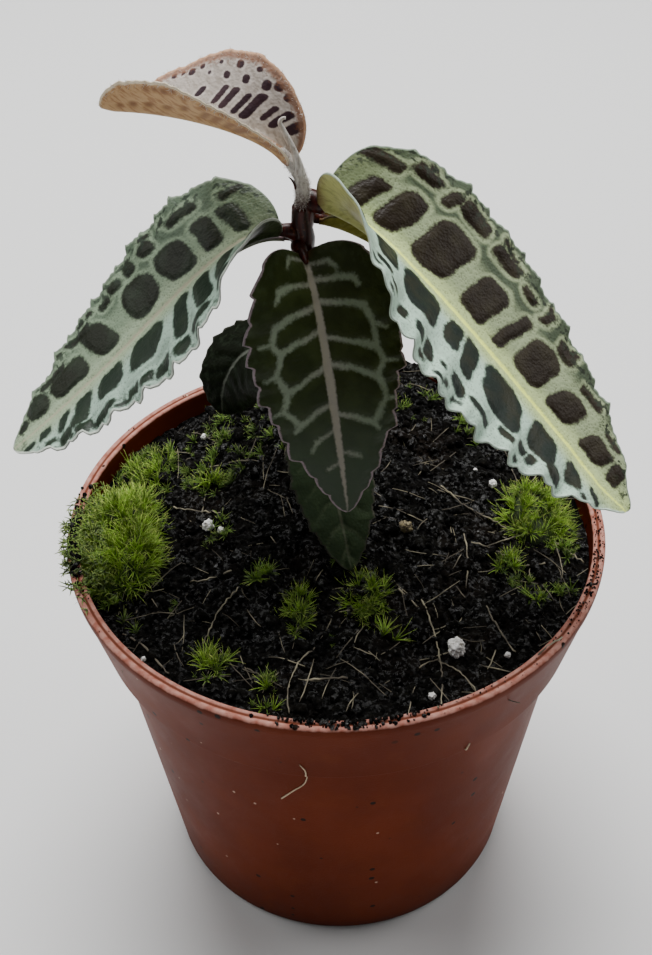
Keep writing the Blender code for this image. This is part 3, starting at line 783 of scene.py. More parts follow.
def moss_core():
    """The dead brown-green felt inside a cushion."""
    material, tree, shader = new_material("brown-green moss felt")
    place = own_place(tree)
    fine = add(tree, "noise", place, 1 / 0.6, 4.0)
    colour = add(tree, "mix", fine, "#0e1405", "#2c3d0e")
    finish_shader(tree, shader, colour, 0.95, fine, 0.3)
    return material


def shoot(name, seed, leaves, length, width, spread, stalk):
    """One moss shoot: hair-like leaves that leave a short stalk all round and curve outward."""
    draw = random.Random(seed)
    parts, reach = [], []
    for k in range(leaves):
        heading = 2.4 * k + draw.uniform(-0.3, 0.3)
        foot = stalk * (k / leaves)
        lean = math.radians(draw.uniform(*spread)) * (1 - 0.45 * k / leaves)
        size = length * draw.uniform(0.6, 1.1)
        side = np.array([math.cos(heading), math.sin(heading), 0.0])
        point, path = np.array([0.0, 0.0, foot]), []
        steps = 4
        for j in range(steps + 1):
            path.append(point.copy())
            angle = lean * (0.55 + 0.75 * j / steps)
            ahead = side * math.sin(angle) + np.array([0.0, 0.0, math.cos(angle)])
            point = point + ahead * size / steps
        radii = [0.5 * width * w for w in (0.8, 1.0, 0.8, 0.5, 0.12)]
        parts.append(tube(path, radii, 3, twist=side))
        reach += [j / steps for j in range(steps + 1) for _ in range(3)]
    points, faces = joined(parts)
    return piece(name, points, faces, [], {"reach": reach}, outward=False)


def hummock(name, middle, radii, height, material, rings=14, sides=48):
    """A low dome on the peat, with the share of shoots that each point carries."""
    mx, my = middle
    limit = inner_wall(POT_HEIGHT) - 1.0
    top, under, cover = [], [], []
    for ring in range(rings, -1, -1):
        share = ring / rings
        for k in range(sides if ring else 1):
            angle = 2 * math.pi * k / sides
            uneven = 1 + 0.16 * noise.noise(Vector((math.cos(angle) * 1.3, math.sin(angle) * 1.3, mx)))
            x = mx + radii[0] * share * math.cos(angle) * uneven
            y = my + radii[1] * share * math.sin(angle) * uneven
            out = math.hypot(x, y)
            if out > limit:
                x, y = x * limit / out, y * limit / out
            foot = soil_level(x, y) - 0.6
            bulge = height * max(0.0, 1 - share**2) ** 0.6
            bulge *= 0.78 + 0.5 * noise.noise(Vector((x / 3.4, y / 3.4, 1.5)))
            top.append((x, y, foot + 0.3 + bulge))
            under.append((x, y, foot))
            cover.append(1.0)
    count = len(top)
    faces = []
    for i in range(rings):
        for k in range(sides):
            a, b = i * sides + k, i * sides + (k + 1) % sides
            if i < rings - 1:
                quad = (a, b, b + sides, a + sides)
            else:
                quad = (a, b, count - 1)
            faces.append(quad)
            faces.append(tuple(count + v for v in reversed(quad)))
    for k in range(sides):
        a, b = k, (k + 1) % sides
        faces.append((a, count + a, count + b, b))
    cover += [0.0] * count
    return piece(name, top + under, faces, [material], {"cover": cover})


def merged(name, base, extra, materials):
    """Two pieces as one, each with its material."""
    bm = bmesh.new()
    bm.from_mesh(base.data)
    own = len(bm.faces)
    bm.from_mesh(extra.data)
    bm.faces.ensure_lookup_table()
    for face in bm.faces[own:]:
        face.material_index = 1
    mesh = bpy.data.meshes.new(name)
    bm.to_mesh(mesh)
    bm.free()
    for material in materials:
        mesh.materials.append(material)
    mesh.shade_smooth()
    for old in (base, extra):
        bpy.data.objects.remove(old)
    return in_scene(name, mesh)


bright_moss = moss_leaf("bright living moss", "#25360e", "#92bc38", "#dfe87a")
felt = moss_core()
for seed, (node, middle, radii, height, dense, longest) in enumerate(MOSS_CUSHIONS):
    dome = hummock(node + "_dome", middle, radii, height, felt)
    shoots = [shoot(f"shoot_{k}", 60 + k, 12, 3.9, 0.14, (8, 80), 0.9) for k in range(6)]
    hair = scattered(node + "_hair", dome, shoots, bright_moss, dense, 30 + seed, (0.45, longest), 34)
    cushion = merged(node + "_cushion", dome, hair, (felt, bright_moss))
    place_on_plant(cushion, "moss", node)

# Thin moss between the cushions. Each patch is x, y, radius and shoots per mm2.
THIN_PATCHES = (
    (-33.0, 16.0, 6.5, 0.75),
    (-22.0, 14.0, 7.5, 0.42),
    (-12.0, 18.0, 6.0, 0.30),
    (-18.0, 24.0, 7.0, 0.25),
    (-20.5, -1.5, 3.5, 0.5),
    (-12.0, -12.0, 2.0, 1.1),
    (-19.5, -29.0, 3.0, 0.8),
    (-10.5, -33.0, 2.0, 0.7),
    (-11.0, -38.0, 2.0, 0.9),
    (7.5, -24.5, 1.5, 0.9),
    (0.0, -25.0, 1.5, 0.6),
    (2.5, -8.5, 2.5, 0.9),
    (28.5, -8.5, 3.0, 0.8),
    (32.5, -16.5, 2.5, 0.8),
    (36.5, -14.5, 2.5, 0.5),
    (38.5, -3.5, 3.0, 1.0),
    (29.5, -12.0, 2.0, 0.9),
    (-36.0, -14.5, 3.5, 0.9),
    (-33.0, -21.0, 2.5, 0.4),
    (14.0, 25.0, 5.0, 0.20),
    (-2.0, 30.0, 6.0, 0.30),
    (26.0, 22.0, 5.0, 0.30),
    (-26.0, -18.0, 3.0, 0.25),
)
green_moss = moss_leaf("short green moss", "#222c0e", "#6f9434", "#bccb6c")
TUFTS = (  # single tufts of longer shoots
    (-19.5, -29.0, 2.0, 1.3),
    (-11.0, -33.0, 1.0, 1.2),
    (-11.0, -38.0, 1.0, 0.9),
    (-12.0, -12.0, 1.5, 1.2),
    (7.5, -24.5, 1.0, 1.3),
    (28.5, -8.5, 1.5, 0.9),
    (32.5, -16.5, 1.0, 0.9),
    (-22.0, 10.0, 2.0, 0.6),
    (-33.0, 14.0, 4.0, 0.6),
)


def patch_moss(name, patches, leaf_length, material, seed, size):
    """Moss shoots scattered over round patches of the peat."""
    cover = np.zeros(len(soil_points))
    for x, y, radius, dense in patches:
        away = np.hypot(soil_points[:, 0] - x, soil_points[:, 1] - y) / radius
        cover = np.maximum(cover, dense * np.clip(1.15 - away, 0.0, 1.0) ** 0.7)
    cover[:first_top] = 0.0
    cover[-2:] = 0.0
    ground = piece(name + "_ground", soil_points, soil_faces, [peat], {"cover": cover})
    shoots = [shoot(f"{name}_{k}", 80 + k, 12, leaf_length, 0.15, (15, 82), 0.7) for k in range(4)]
    moss = scattered(name, ground, shoots, material, 1.0, seed, size, 30)
    bpy.data.objects.remove(ground)
    place_on_plant(moss, "moss")


patch_moss("thin_moss", THIN_PATCHES, 2.3, green_moss, 51, (0.4, 1.2))
patch_moss("moss_tufts", TUFTS, 4.0, bright_moss, 53, (0.6, 1.1))


RIM_MOSS_STARS = 230
STAR_LEAVES = 7
LEAF_STEPS = (0, 0.35, 0.7, 1)


def rim_moss():
    """The dark moss that grows up over the rim on the left, in small stars of short leaves."""
    draw = random.Random(12)
    dark = moss_leaf("dark moss on the rim", "#222c10", "#74913a", "#bccb68")
    parts, reach = [], []
    for _ in range(RIM_MOSS_STARS):
        angle = math.radians(draw.gauss(187.0, 7.5))
        out = draw.uniform(-6.0, 0.9)
        slope = 0.1 if out < 0 else -1.2
        foot = around(RIM_RADIUS + out, angle, POT_HEIGHT + 0.2 + slope * out)
        for _ in range(STAR_LEAVES):
            lean = np.array([draw.gauss(0, 1), draw.gauss(0, 1), abs(draw.gauss(0.5, 0.6))])
            size = draw.uniform(0.7, 1.7) / np.linalg.norm(lean)
            path = [foot + lean * size * t - np.array([0, 0, 0.35 * t * t]) for t in LEAF_STEPS]
            parts.append(tube(path, (0.09, 0.11, 0.08, 0.02), 3))
            reach += [t for t in LEAF_STEPS for _ in range(3)]
    made = piece("rim_moss", *joined(parts), [dark], {"reach": reach}, outward=False)
    place_on_plant(made, "moss")


rim_moss()


# The dirt on the pot
# Crumbs of peat left on the lip when the pot was filled, thick on the left and at the back, finer
# at the right and the front, and a few fine pale roots stuck to the outer wall.

LIP_BAND = (1.5, 1.9)  # mm in from the edge, the least and the greatest width that crumbs cover
LIP_CRUMBS = (  # middle angle, spread, count, largest radius, how far in from the edge they tend
    (187.0, 6.0, 130, 0.55, 1.9),
    (-18.0, 10.0, 260, 0.2, 1.9),
    (-90.0, 6.0, 60, 0.3, 1.9),
    (-60.0, 14.0, 50, 0.16, 1.9),
    (200.0, 9.0, 24, 0.2, 1.9),
    (60.0, 60.0, 50, 0.22, 1.9),
    (-88.0, 8.0, 150, 0.42, 3.0),
    (76.0, 7.0, 420, 1.0, 1.9),
)


def rim_crumbs():
    """Crumbs of peat and dust that lie on the lip in clusters."""
    draw = random.Random(31)
    parts = []
    corners, faces = ball(1.0, 1)
    for middle, spread, count, largest, inward in LIP_CRUMBS:
        for _ in range(count):
            angle = math.radians(draw.gauss(middle, spread))
            out = RIM_RADIUS - min(draw.uniform(0.25, inward), draw.uniform(*LIP_BAND))
            radius = largest * draw.uniform(0.25, 1.0) ** 1.4
            shift = Vector((angle * 9, 0, 0))
            push = np.array([1 + 0.5 * noise.noise(corner * 1.7 + shift) for corner in corners])
            lump = np.array(corners) * radius * push[:, None]
            parts.append((lump + around(out, angle, POT_HEIGHT + 0.35 * radius), faces))
    made = piece("rim_crumbs", *joined(parts), [peat])
    place_on_plant(made, "peat")


rim_crumbs()


def pale_rootlet():
    """A fresh fine root, cream-coloured and slightly translucent."""
    material, tree, shader = new_material("pale fine root")
    place = own_place(tree)
    tone = add(tree, "noise", place, 1 / 1.5, 2.0)
    colour = add(tree, "mix", tone, "#a98d6c", "#d9c3a2")
    finish_shader(tree, shader, colour, 0.6, tone, 0.02)
    return material


pale_root = pale_rootlet()


def wall_strand(name, spots, thickness):
    """A fine root stuck to the pot's outer wall. Each spot is an angle in degrees and a height."""
    path = []
    for angle, height in through(spots, 8):
        on_collar = height > SHOULDER + 0.4
        wall = collar_radius(height) if on_collar else body_radius(height)
        path.append(around(wall + 0.6 * thickness, math.radians(angle), height))
    radii = 0.5 * thickness * np.linspace(1.1, 0.6, len(path))
    made = piece(name, *tube(path, radii, 6), [pale_root])
    place_on_plant(made, "peat")


wall_strand("wall_root", ((-104, 48.5), (-101, 51.5), (-98, 54.5), (-97, 58)), 0.28)
wall_strand("wall_root_upper", ((-97, 60), (-97, 62), (-98, 64)), 0.26)
wall_strand("wall_shred", ((-62, 60), (-61.5, 62)), 0.3)


# The stem
# One slender woody stem rooted in the peat, dark red-brown and slightly glossy, with leaf scars.
# It forks into its petioles, most of them at its top, and silvery wool wraps the youngest one.

STEM_PATH = (  # heights are above the rim
    (-4.0, 14.0, -16.0),
    (-4.0, 14.0, 4.0),
    (-4.4, 12.6, 18.0),
    (-4.6, 9.4, 35.0),
    (-4.4, 7.0, 45.5),
    (-4.2, 5.7, 51.0),
    (-4.4, 5.0, 56.4),
)
STEM_RADII = (1.9, 1.9, 1.75, 1.6, 1.3, 1.75, 1.25)
LEAF_SCARS = (7.0, 12.5, 16.5, 23.0, 29.5, 36.0, 42.0, 46.5)  # heights above the rim
PETIOLES = {  # root, base of the blade, heading and pitch there, radius at the root and at the blade
    "leaf_right": ((-4.0, 5.3, 51.8), (-1.6, 5.2, 56.8), -21, 4, 1.75, 1.6),
    "leaf_left": ((-4.3, 6.2, 51.0), (-7.4, 4.4, 53.0), 192, 16, 1.45, 0.95),
    "leaf_front": ((-4.3, 6.2, 49.5), (-4.4, 2.8, 50.0), -71, -10, 1.6, 0.9),
    "leaf_low_front": ((-4.4, 12.4, 18.6), (-4.3, 9.4, 20.6), -73, -4, 1.0, 0.7),
    "leaf_low_left": ((-4.4, 12.8, 16.5), (-7.0, 17.5, 22.0), 158, 40, 1.0, 0.7),
    "leaf_back_left": ((-4.5, 7.2, 46.8), (-7.0, 8.8, 49.4), 164, 6, 1.0, 0.7),
    "leaf_back_right": ((-4.4, 6.2, 50.6), (-1.8, 7.8, 52.8), 0, -4, 1.25, 0.8),
}
WOOLLY_PETIOLE = ((-4.4, 5.0, 56.0), (-5.6, 4.0, 64.0), 170, 62, 1.15, 0.85)
TO_RIM = np.array([0, 0, POT_HEIGHT])


def direction(heading, pitch):
    heading, pitch = np.radians(heading), np.radians(pitch)
    level = np.cos(pitch)
    return np.stack([np.cos(heading) * level, np.sin(heading) * level, np.sin(pitch)], -1)


def limb(petiole, sink=2.2, steps=9, sides=18):
    """A petiole: it swells where it leaves the stem and runs on into its blade's midrib."""
    root, base, heading, pitch, thick, thin = petiole
    ahead = direction(heading, pitch)
    root, base = np.array(root), np.array(base)
    reach = np.linalg.norm(base - root)
    path = through((root, base - ahead * 0.4 * reach, base, base + ahead * sink), steps)
    share = np.linspace(0, 1, len(path))
    radii = thick + (thin - thick) * np.minimum(1.0, share * 1.5)
    radii = radii * (0.6 + 0.4 * np.minimum(1.0, share / 0.22))
    radii[-steps:] *= np.linspace(1.0, 0.35, steps)
    return tube(path + TO_RIM, radii, sides)


def red_bark():
    """Green wood under a waxy dark red-brown skin, paler and greener at the scars."""
    material, tree, shader = new_material("waxy red-brown bark")
    place = own_place(tree)
    long_grain = add(tree, "drawn out", place, inputs={"Scale": (1.0, 1.0, 0.18)})
    streak = add(tree, "noise", long_grain, 1 / 0.7, 4.0)
    colour = blend(tree, "#1d0704", "#46140b", streak, 0.35, 0.7)
    height = add(tree, "split", place).node.outputs["Z"]
    colour = blend(tree, colour, "#3b2c22", height, 112.0, 88.0, 0.7)
    dots = add(tree, "noise", place, 1 / 0.5, 2.0)
    colour = blend(tree, colour, "#7a4a34", dots, 0.62, 0.72, 0.35)
    finish_shader(tree, shader, colour, 0.34, add(tree, "add", streak, dots), 0.03, 0.22)
    return material


WOOL_START = POT_HEIGHT + 57.6


def silver_wool_skin():
    """The young petiole: brown skin under a silvery felt of hairs."""
    material, tree, shader = new_material("silvery felted petiole")
    place = own_place(tree)
    long_grain = add(tree, "drawn out", place, inputs={"Scale": (1.0, 1.0, 0.25)})
    strands = add(tree, "noise", long_grain, 1 / 0.35, 5.0, 0.7)
    colour = blend(tree, "#9a8f85", "#dad6cd", strands, 0.3, 0.66)
    across, _, height = add(tree, "split", place).node.outputs
    left = add(tree, "multiply_add", height, 0.33, across)
    left = add(tree, "multiply_add", strands, 0.7, left)
    colour = blend(tree, colour, "#51301f", left, 39.3, 38.7, 0.85)
    foot = add(tree, "multiply_add", strands, 3.0, height)
    colour = blend(tree, colour, "#3a170e", foot, WOOL_START + 6.0, WOOL_START)
    finish_shader(tree, shader, colour, 0.8, strands, 0.12)
    return material


def stem_trunk():
    control = [np.array(p) for p in STEM_PATH]
    path = through(control, 22)
    radii = np.interp(np.linspace(0, len(control) - 1, len(path)), range(len(control)), STEM_RADII)
    heights = path[:, 2]
    for scar in LEAF_SCARS:
        radii = radii + 0.16 * np.exp(-(((heights - scar) / 0.55) ** 2))
        radii = radii - 0.07 * np.exp(-(((heights - scar - 1.1) / 0.5) ** 2))
    sway = [np.sin(heights * 0.55), np.cos(heights * 0.43), np.zeros(len(path))]
    return tube(path + 0.12 * np.column_stack(sway) + TO_RIM, radii, 24)


bark = red_bark()
felted = silver_wool_skin()
wood = joined([stem_trunk(), *(limb(petiole) for petiole in PETIOLES.values())])
stem = piece("stem_and_petioles", *wood, [bark])
place_on_plant(stem, "stem_bark", "stem")
young = piece("young_petiole", *limb(WOOLLY_PETIOLE), [felted])
place_on_plant(young, "stem_bark")


def silver_hair():
    """Fine silvery hairs, dull white."""
    material, tree, shader = new_material("fine silvery hairs")
    tone = add(tree, "noise", own_place(tree), 1 / 1.0, 2.0)
    colour = add(tree, "mix", tone, "#b5aca4", "#efece8")
    finish_shader(tree, shader, colour, 0.7, tone, 0.01)
    return material


def hair_shape(name, length, lean, seed):
    """One curved hair, thicker at its foot."""
    bend = 0.5 + 0.4 * math.sin(seed * 2.1)
    path = [
        (lean * t * length, 0.06 * math.sin(seed + t), length * t * (1 - 0.3 * t * bend))
        for t in LEAF_STEPS
    ]
    return piece(name, *tube(path, (0.028, 0.024, 0.018, 0.006), 3), [])


young.data.attributes.new("cover", "FLOAT", "POINT").data.foreach_set(
    "value", [1.0 if v.co.z > (POT_HEIGHT + 56.0) * MM else 0.0 for v in young.data.vertices]
)
hairs = [hair_shape(f"hair_{k}", 0.42, 0.5, k) for k in range(3)]
white_hair = silver_hair()
wool = scattered("petiole_wool", young, hairs, white_hair, 14.0, 71, (0.5, 1.2), 35)
place_on_plant(wool, "stem_bark")


def bud_scale(name, base, ahead, out, length, width, material):
    """A small pointed scale at the foot of a petiole, cupped towards the stem."""
    base, ahead, out = (np.asarray(v, float) for v in (base, ahead, out))
    ahead = ahead / np.linalg.norm(ahead)
    out = out - ahead * (out @ ahead)
    out /= np.linalg.norm(out)
    side = np.cross(ahead, out)
    rows, columns = 14, 7
    points, faces = [], []
    for face in (0.12, -0.12):
        for i in range(rows):
            t = i / (rows - 1)
            half = 0.5 * width * (0.35 + 0.65 * math.sin(math.pi * min(1, t * 1.6) / 2)) * (1 - t**3)
            half = max(half, 0.03)
            for j in range(columns):
                v = 2 * j / (columns - 1) - 1
                middle = base + ahead * length * t + out * (0.35 * length * t**2)
                cup = -0.45 * half * v * v
                points.append(middle + side * half * v + out * (cup + face * (1 - 0.6 * t)))
    count = rows * columns
    for i in range(rows - 1):
        for j in range(columns - 1):
            a = i * columns + j
            faces.append((a, a + 1, a + columns + 1, a + columns))
            faces.append(tuple(count + v for v in (a + columns, a + columns + 1, a + 1, a)))
        for j in (0, columns - 1):
            a = i * columns + j
            faces.append((a, a + columns, count + a + columns, count + a))
    for i in (0, rows - 1):
        for j in range(columns - 1):
            a = i * columns + j
            faces.append((a, a + 1, count + a + 1, count + a))
    made = piece(name, np.array(points) + TO_RIM, faces, [material])
    place_on_plant(made, "stem_bark")


bud_scale("bud_scale_left", (-5.1, 3.6, 60.0), (-0.05, -0.1, 1.0), (-1, -0.2, 0), 2.2, 0.9, bark)
bud_scale("bud_scale_right", (-3.1, 4.3, 48.4), (0.1, 0.0, 1.0), (1, -0.2, 0), 2.0, 1.2, felted)

# The groove of the young petiole ends in a pale lip that curls over the foot of the blade.
LIP_START = (-4.2, 2.9, 62.6)
LIP_LENGTH = 9.6
LIP_LEAN = (6.0, 24.0)  # degrees to the left of upright, at its foot and further up
LIP_CURL = 125.0  # degrees that its end rolls back to the right
LIP_CURL_START = 0.84


def curled_lip(steps):
    """The lip's middle line: it leans to the left, and its end rolls over."""
    x, y, z = LIP_START
    path = [LIP_START]
    for k in range(steps):
        share = (k + 0.5) / steps
        lean = LIP_LEAN[0] + (LIP_LEAN[1] - LIP_LEAN[0]) * min(1.0, 2 * share)
        lean -= LIP_CURL * max(0.0, share - LIP_CURL_START) / (1 - LIP_CURL_START)
        x -= math.sin(math.radians(lean)) * LIP_LENGTH / steps
        z += math.cos(math.radians(lean)) * LIP_LENGTH / steps
        path.append((x, y, z))
    return np.array(path)


lip_path = curled_lip(36)
lip_radii = np.interp(np.linspace(0, 1, len(lip_path)), (0, 0.3, 0.8, 1), (0.75, 0.5, 0.38, 0.2))
lip = piece("petiole_lip", *tube(lip_path + TO_RIM, lip_radii, 14), [felted])
place_on_plant(lip, "stem_bark")


# The leaves
# Leathery elliptic blades with toothed margins, each grown out of its petiole. Dark satin cells
# bulge up between pale veins; the midrib runs in a groove above and stands out in a keel below.

WIDTH_SHARES = (0.0, 0.03, 0.1, 0.2, 0.3, 0.4, 0.5, 0.6, 0.7, 0.8, 0.9, 0.97, 1.0)
ELLIPTIC = (0.0, 0.32, 0.55, 0.78, 0.92, 1.0, 1.0, 0.94, 0.82, 0.64, 0.42, 0.20, 0.0)
BASE_BEND_SHARE = 0.12
BASE_FOLD_SHARE = 0.16
BASE_HALF_WIDTH = 1.0
TIP_HALF_WIDTH = 0.3
CREASE_ROUNDING = 1.5
BLADE_THICKNESS = 0.5
EDGE_THICKNESS = 0.24
CELL_BULGE = 0.16
RIB_GROOVE = 0.22
KEEL_DEPTH = 0.8
UNDER_SHIFT = 40.0  # mm along which the under skin reads other parts of the noise


def elliptic(half_width):
    return tuple(half_width * share for share in ELLIPTIC)


def smooth(share):
    share = np.clip(share, 0.0, 1.0)
    return share * share * (3 - 2 * share)


def half_width(widths, s):
    """A smooth curve through the half widths, round at the base and at the tip."""
    least = BASE_HALF_WIDTH + (TIP_HALF_WIDTH - BASE_HALF_WIDTH) * s
    if s <= WIDTH_SHARES[1]:
        return max(widths[1] * math.sqrt(s / WIDTH_SHARES[1]), least)
    if s >= WIDTH_SHARES[-2]:
        return max(widths[-2] * math.sqrt((1 - s) / (1 - WIDTH_SHARES[-2])), least)
    k = max(i for i in range(len(WIDTH_SHARES)) if WIDTH_SHARES[i] < s)
    span = WIDTH_SHARES[k + 1] - WIDTH_SHARES[k]
    t = (s - WIDTH_SHARES[k]) / span
    slopes = []
    for i in (k, k + 1):
        rise = widths[i + 1] - widths[i - 1]
        slopes.append(span * rise / (WIDTH_SHARES[i + 1] - WIDTH_SHARES[i - 1]))
    width = (2 * t**3 - 3 * t**2 + 1) * widths[k] + (3 * t**2 - 2 * t**3) * widths[k + 1]
    width += (t**3 - 2 * t**2 + t) * slopes[0] + (t**3 - t**2) * slopes[1]
    return max(width, least)


def tooth_rise(kind, count, shares):
    """How far a margin stands out at each share of the length, from 0 to 1."""
    phase = (shares * count) % 1.0
    uneven = 0.75 + 0.4 * np.sin(np.floor(shares * count) * 2.3)
    if kind == "scallop":
        return np.sin(math.pi * phase) ** 0.6 * uneven
    if kind == "round":
        return np.where(phase < 0.86, (phase / 0.86) ** 0.6, ((1 - phase) / 0.14) ** 0.9) * uneven
    rising = (phase / 0.8) ** 1.7
    falling = ((1 - phase) / 0.2) ** 0.8
    small = 0.2 * np.abs(np.sin(math.pi * shares * count * 3.0))
    return np.where(phase < 0.78, rising, falling) * uneven + small


def bend_in(ends, share):
    return ends[0] + (ends[1] - ends[0]) * share


def blade_frame(leaf, shares):
    """The midrib's points, and the blade's left and up directions there."""
    fine = 6
    cuts = np.linspace(0, 1, (len(shares) - 1) * fine + 1)
    mids = (cuts[1:] + cuts[:-1]) / 2
    at_base = leaf["base_pitch"]
    beyond, at_tip = leaf["pitch"]

    def ahead(s):
        pitch = beyond + (at_tip - beyond) * s + (at_base - beyond) * np.exp(-s / BASE_BEND_SHARE)
        return direction(leaf["heading"] + leaf["turn"] * s, pitch)

    steps = ahead(mids) * leaf["length"] / len(mids)
    path = np.vstack([np.zeros(3), np.cumsum(steps, axis=0)])[::fine] + np.array(leaf["base"])
    along = ahead(shares)
    level = direction(leaf["heading"] + leaf["turn"] * shares + 90.0, np.zeros_like(shares))
    roll = np.radians(bend_in(leaf["roll"], shares))[:, None]
    left = level * np.cos(roll) + np.cross(along, level) * np.sin(roll)
    return path, left, np.cross(along, left)


def half_section(reach, fold):
    """How far a half blade goes sideways and up at each distance from its midrib."""
    angle = np.radians(fold)[:, None] * smooth(reach / CREASE_ROUNDING)
    middle = (angle[:, 1:] + angle[:, :-1]) / 2
    gap = np.diff(reach, axis=1)
    start = np.zeros((len(reach), 1))
    sideways = np.hstack([start, np.cumsum(np.cos(middle) * gap, axis=1)])
    upward = np.hstack([start, np.cumsum(np.sin(middle) * gap, axis=1)])
    return sideways, upward


def wobble(x, y, size, seed):
    """Smooth noise over the blade, between about -1 and 1."""
    flat = zip((x / size).ravel(), (y / size).ravel())
    return np.array([noise.noise(Vector((a, b, seed))) for a, b in flat]).reshape(x.shape)


def cell_gap(x, y, cells, roundness):
    """Distance in mm to the nearest cell, negative inside it. A cell is a rounded box between two
    side veins: its middle along and across, half its length and width, and its lean."""
    nearest = np.full(x.shape, 99.0)
    for along, across, half_length, half_breadth, lean in cells:
        slope = math.radians(lean)
        ahead = (x - along) * math.cos(slope) - (y - across) * math.sin(slope)
        corner = roundness * min(half_length, half_breadth)
        past_end = np.abs(ahead) - (half_length - corner)
        past_side = np.abs(y - across) - (half_breadth - corner)
        outside = np.hypot(np.maximum(past_end, 0), np.maximum(past_side, 0))
        inside = np.minimum(np.maximum(past_end, past_side), 0)
        nearest = np.minimum(nearest, outside + inside - corner)
    return nearest


def vein_depth(x, y, veins):
    """How deep in mm a point lies inside the nearest vein, negative outside. A vein is a list
    of points, each with the vein's half width there."""
    deepest = np.full(x.shape, -99.0)
    for vein in veins:
        for (ax, ay, aw), (bx, by, bw) in zip(vein, vein[1:]):
            run = (bx - ax) ** 2 + (by - ay) ** 2
            t = np.clip(((x - ax) * (bx - ax) + (y - ay) * (by - ay)) / run, 0, 1)
            away = np.hypot(x - ax - t * (bx - ax), y - ay - t * (by - ay))
            deepest = np.maximum(deepest, aw + (bw - aw) * t - away)
    return deepest


def half_blade(leaf, half, shares, swell, spacing):
    """One half of the blade: each point's distance from the midrib along the skin, how far it
    goes sideways and up, and its distance from the margin."""
    side = ("left", "right").index(half)
    kind, count, height = leaf["teeth_" + half]
    columns = np.linspace(0, 1, int(max(leaf[half]) / spacing) + 1)
    width = np.array([half_width(leaf[half], s) for s in shares])
    rise = tooth_rise(kind, count, shares) * height * swell
    reach = width[:, None] * columns + rise[:, None] * columns**7
    opened = 1 - np.exp(-shares / BASE_FOLD_SHARE)
    sideways, upward = half_section(reach, bend_in(leaf["fold_" + half], opened))
    wave = np.sin(2 * math.pi * (leaf["waves"] * shares + 0.3 * side)) * leaf["wave"][side]
    frill = np.sin(2 * math.pi * (count * shares + 0.2)) * leaf["frill"][side]
    upward = upward + (wave * swell)[:, None] * columns**2 + (frill * swell)[:, None] * columns**6
    return reach, sideways, upward, (width + rise)[:, None] - reach


def blade_surface(leaf, shares, spacing):
    """The middle of the blade's thickness from the right margin to the left one: its points, and
    their distances across the flat blade and from the margin."""
    swell = np.minimum(1, 5 * shares) * np.minimum(1, 6 * (1 - shares))
    path, left, up = blade_frame(leaf, shares)
    halves = []
    for half, sign, order in (("right", -1, slice(None, 0, -1)), ("left", 1, slice(None))):
        reach, sideways, upward, margin = half_blade(leaf, half, shares, swell, spacing)
        points = path[:, None] + left[:, None] * (sign * sideways)[..., None]
        points = points + up[:, None] * upward[..., None]
        halves.append([part[:, order] for part in (points, sign * reach, margin)])
    return [np.concatenate(parts, axis=1) for parts in zip(*halves)]


def blade_pattern(leaf, shares, x, y):
    """In mm, how far a point is outside a cell or inside a vein, outside the midrib, and from the
    midrib's middle."""
    warp_x = x + leaf["warp"] * wobble(x, y, 2.4, 1.5)
    warp_y = y + leaf["warp"] * wobble(x, y, 2.4, 8.5)
    if "cells" in leaf:
        net = cell_gap(warp_x, warp_y, leaf["cells"], leaf["roundness"])
    else:
        net = vein_depth(warp_x, warp_y, leaf["veins"])
    rib_shares, rib_middles, rib_halves = zip(*leaf["rib"])
    from_middle = y - np.interp(shares, rib_shares, rib_middles)[:, None]
    rib = np.abs(from_middle) - np.interp(shares, rib_shares, rib_halves)[:, None]
    return net, rib, from_middle


def blade_depths(leaf, shares, x, y, net, edge, from_middle):
    """How far the upper and the under skin stand from the middle: cells that bulge, a groove
    above the midrib and a keel below it."""
    inward = smooth(edge / 2.5)
    thick = EDGE_THICKNESS + (BLADE_THICKNESS - EDGE_THICKNESS) * inward
    fade = (1 - shares)[:, None]
    relief = CELL_BULGE * leaf["quilt"] * smooth(-net / 0.9) * inward
    relief = relief - RIB_GROOVE * np.exp(-(from_middle**2) / 0.5) * smooth(3 * fade)
    relief = relief + 0.05 * wobble(x, y, 0.9, 3.3)
    keel = KEEL_DEPTH * (0.25 + 0.75 * fade) * np.exp(-(from_middle**2) / 0.55)
    keel = keel + 0.10 * smooth(net / 0.6) * inward
    return thick / 2 + relief, thick / 2 + keel * smooth(fade * 12)


def skin_faces(rows, columns):
    """Faces of two grids of points, the second under the first, joined along their border."""
    far = rows * columns
    index = np.arange(far).reshape(rows, columns)
    a, b, c, d = index[:-1, :-1], index[:-1, 1:], index[1:, 1:], index[1:, :-1]
    faces = np.stack([a, b, c, d], -1).reshape(-1, 4).tolist()
    faces += (np.stack([d, c, b, a], -1).reshape(-1, 4) + far).tolist()
    border = [*index[0], *index[1:, -1], *index[-1, -2::-1], *index[-2:0:-1, 0]]
    after = border[1:] + border[:1]
    return faces + [(q, p, p + far, q + far) for p, q in zip(border, after)]


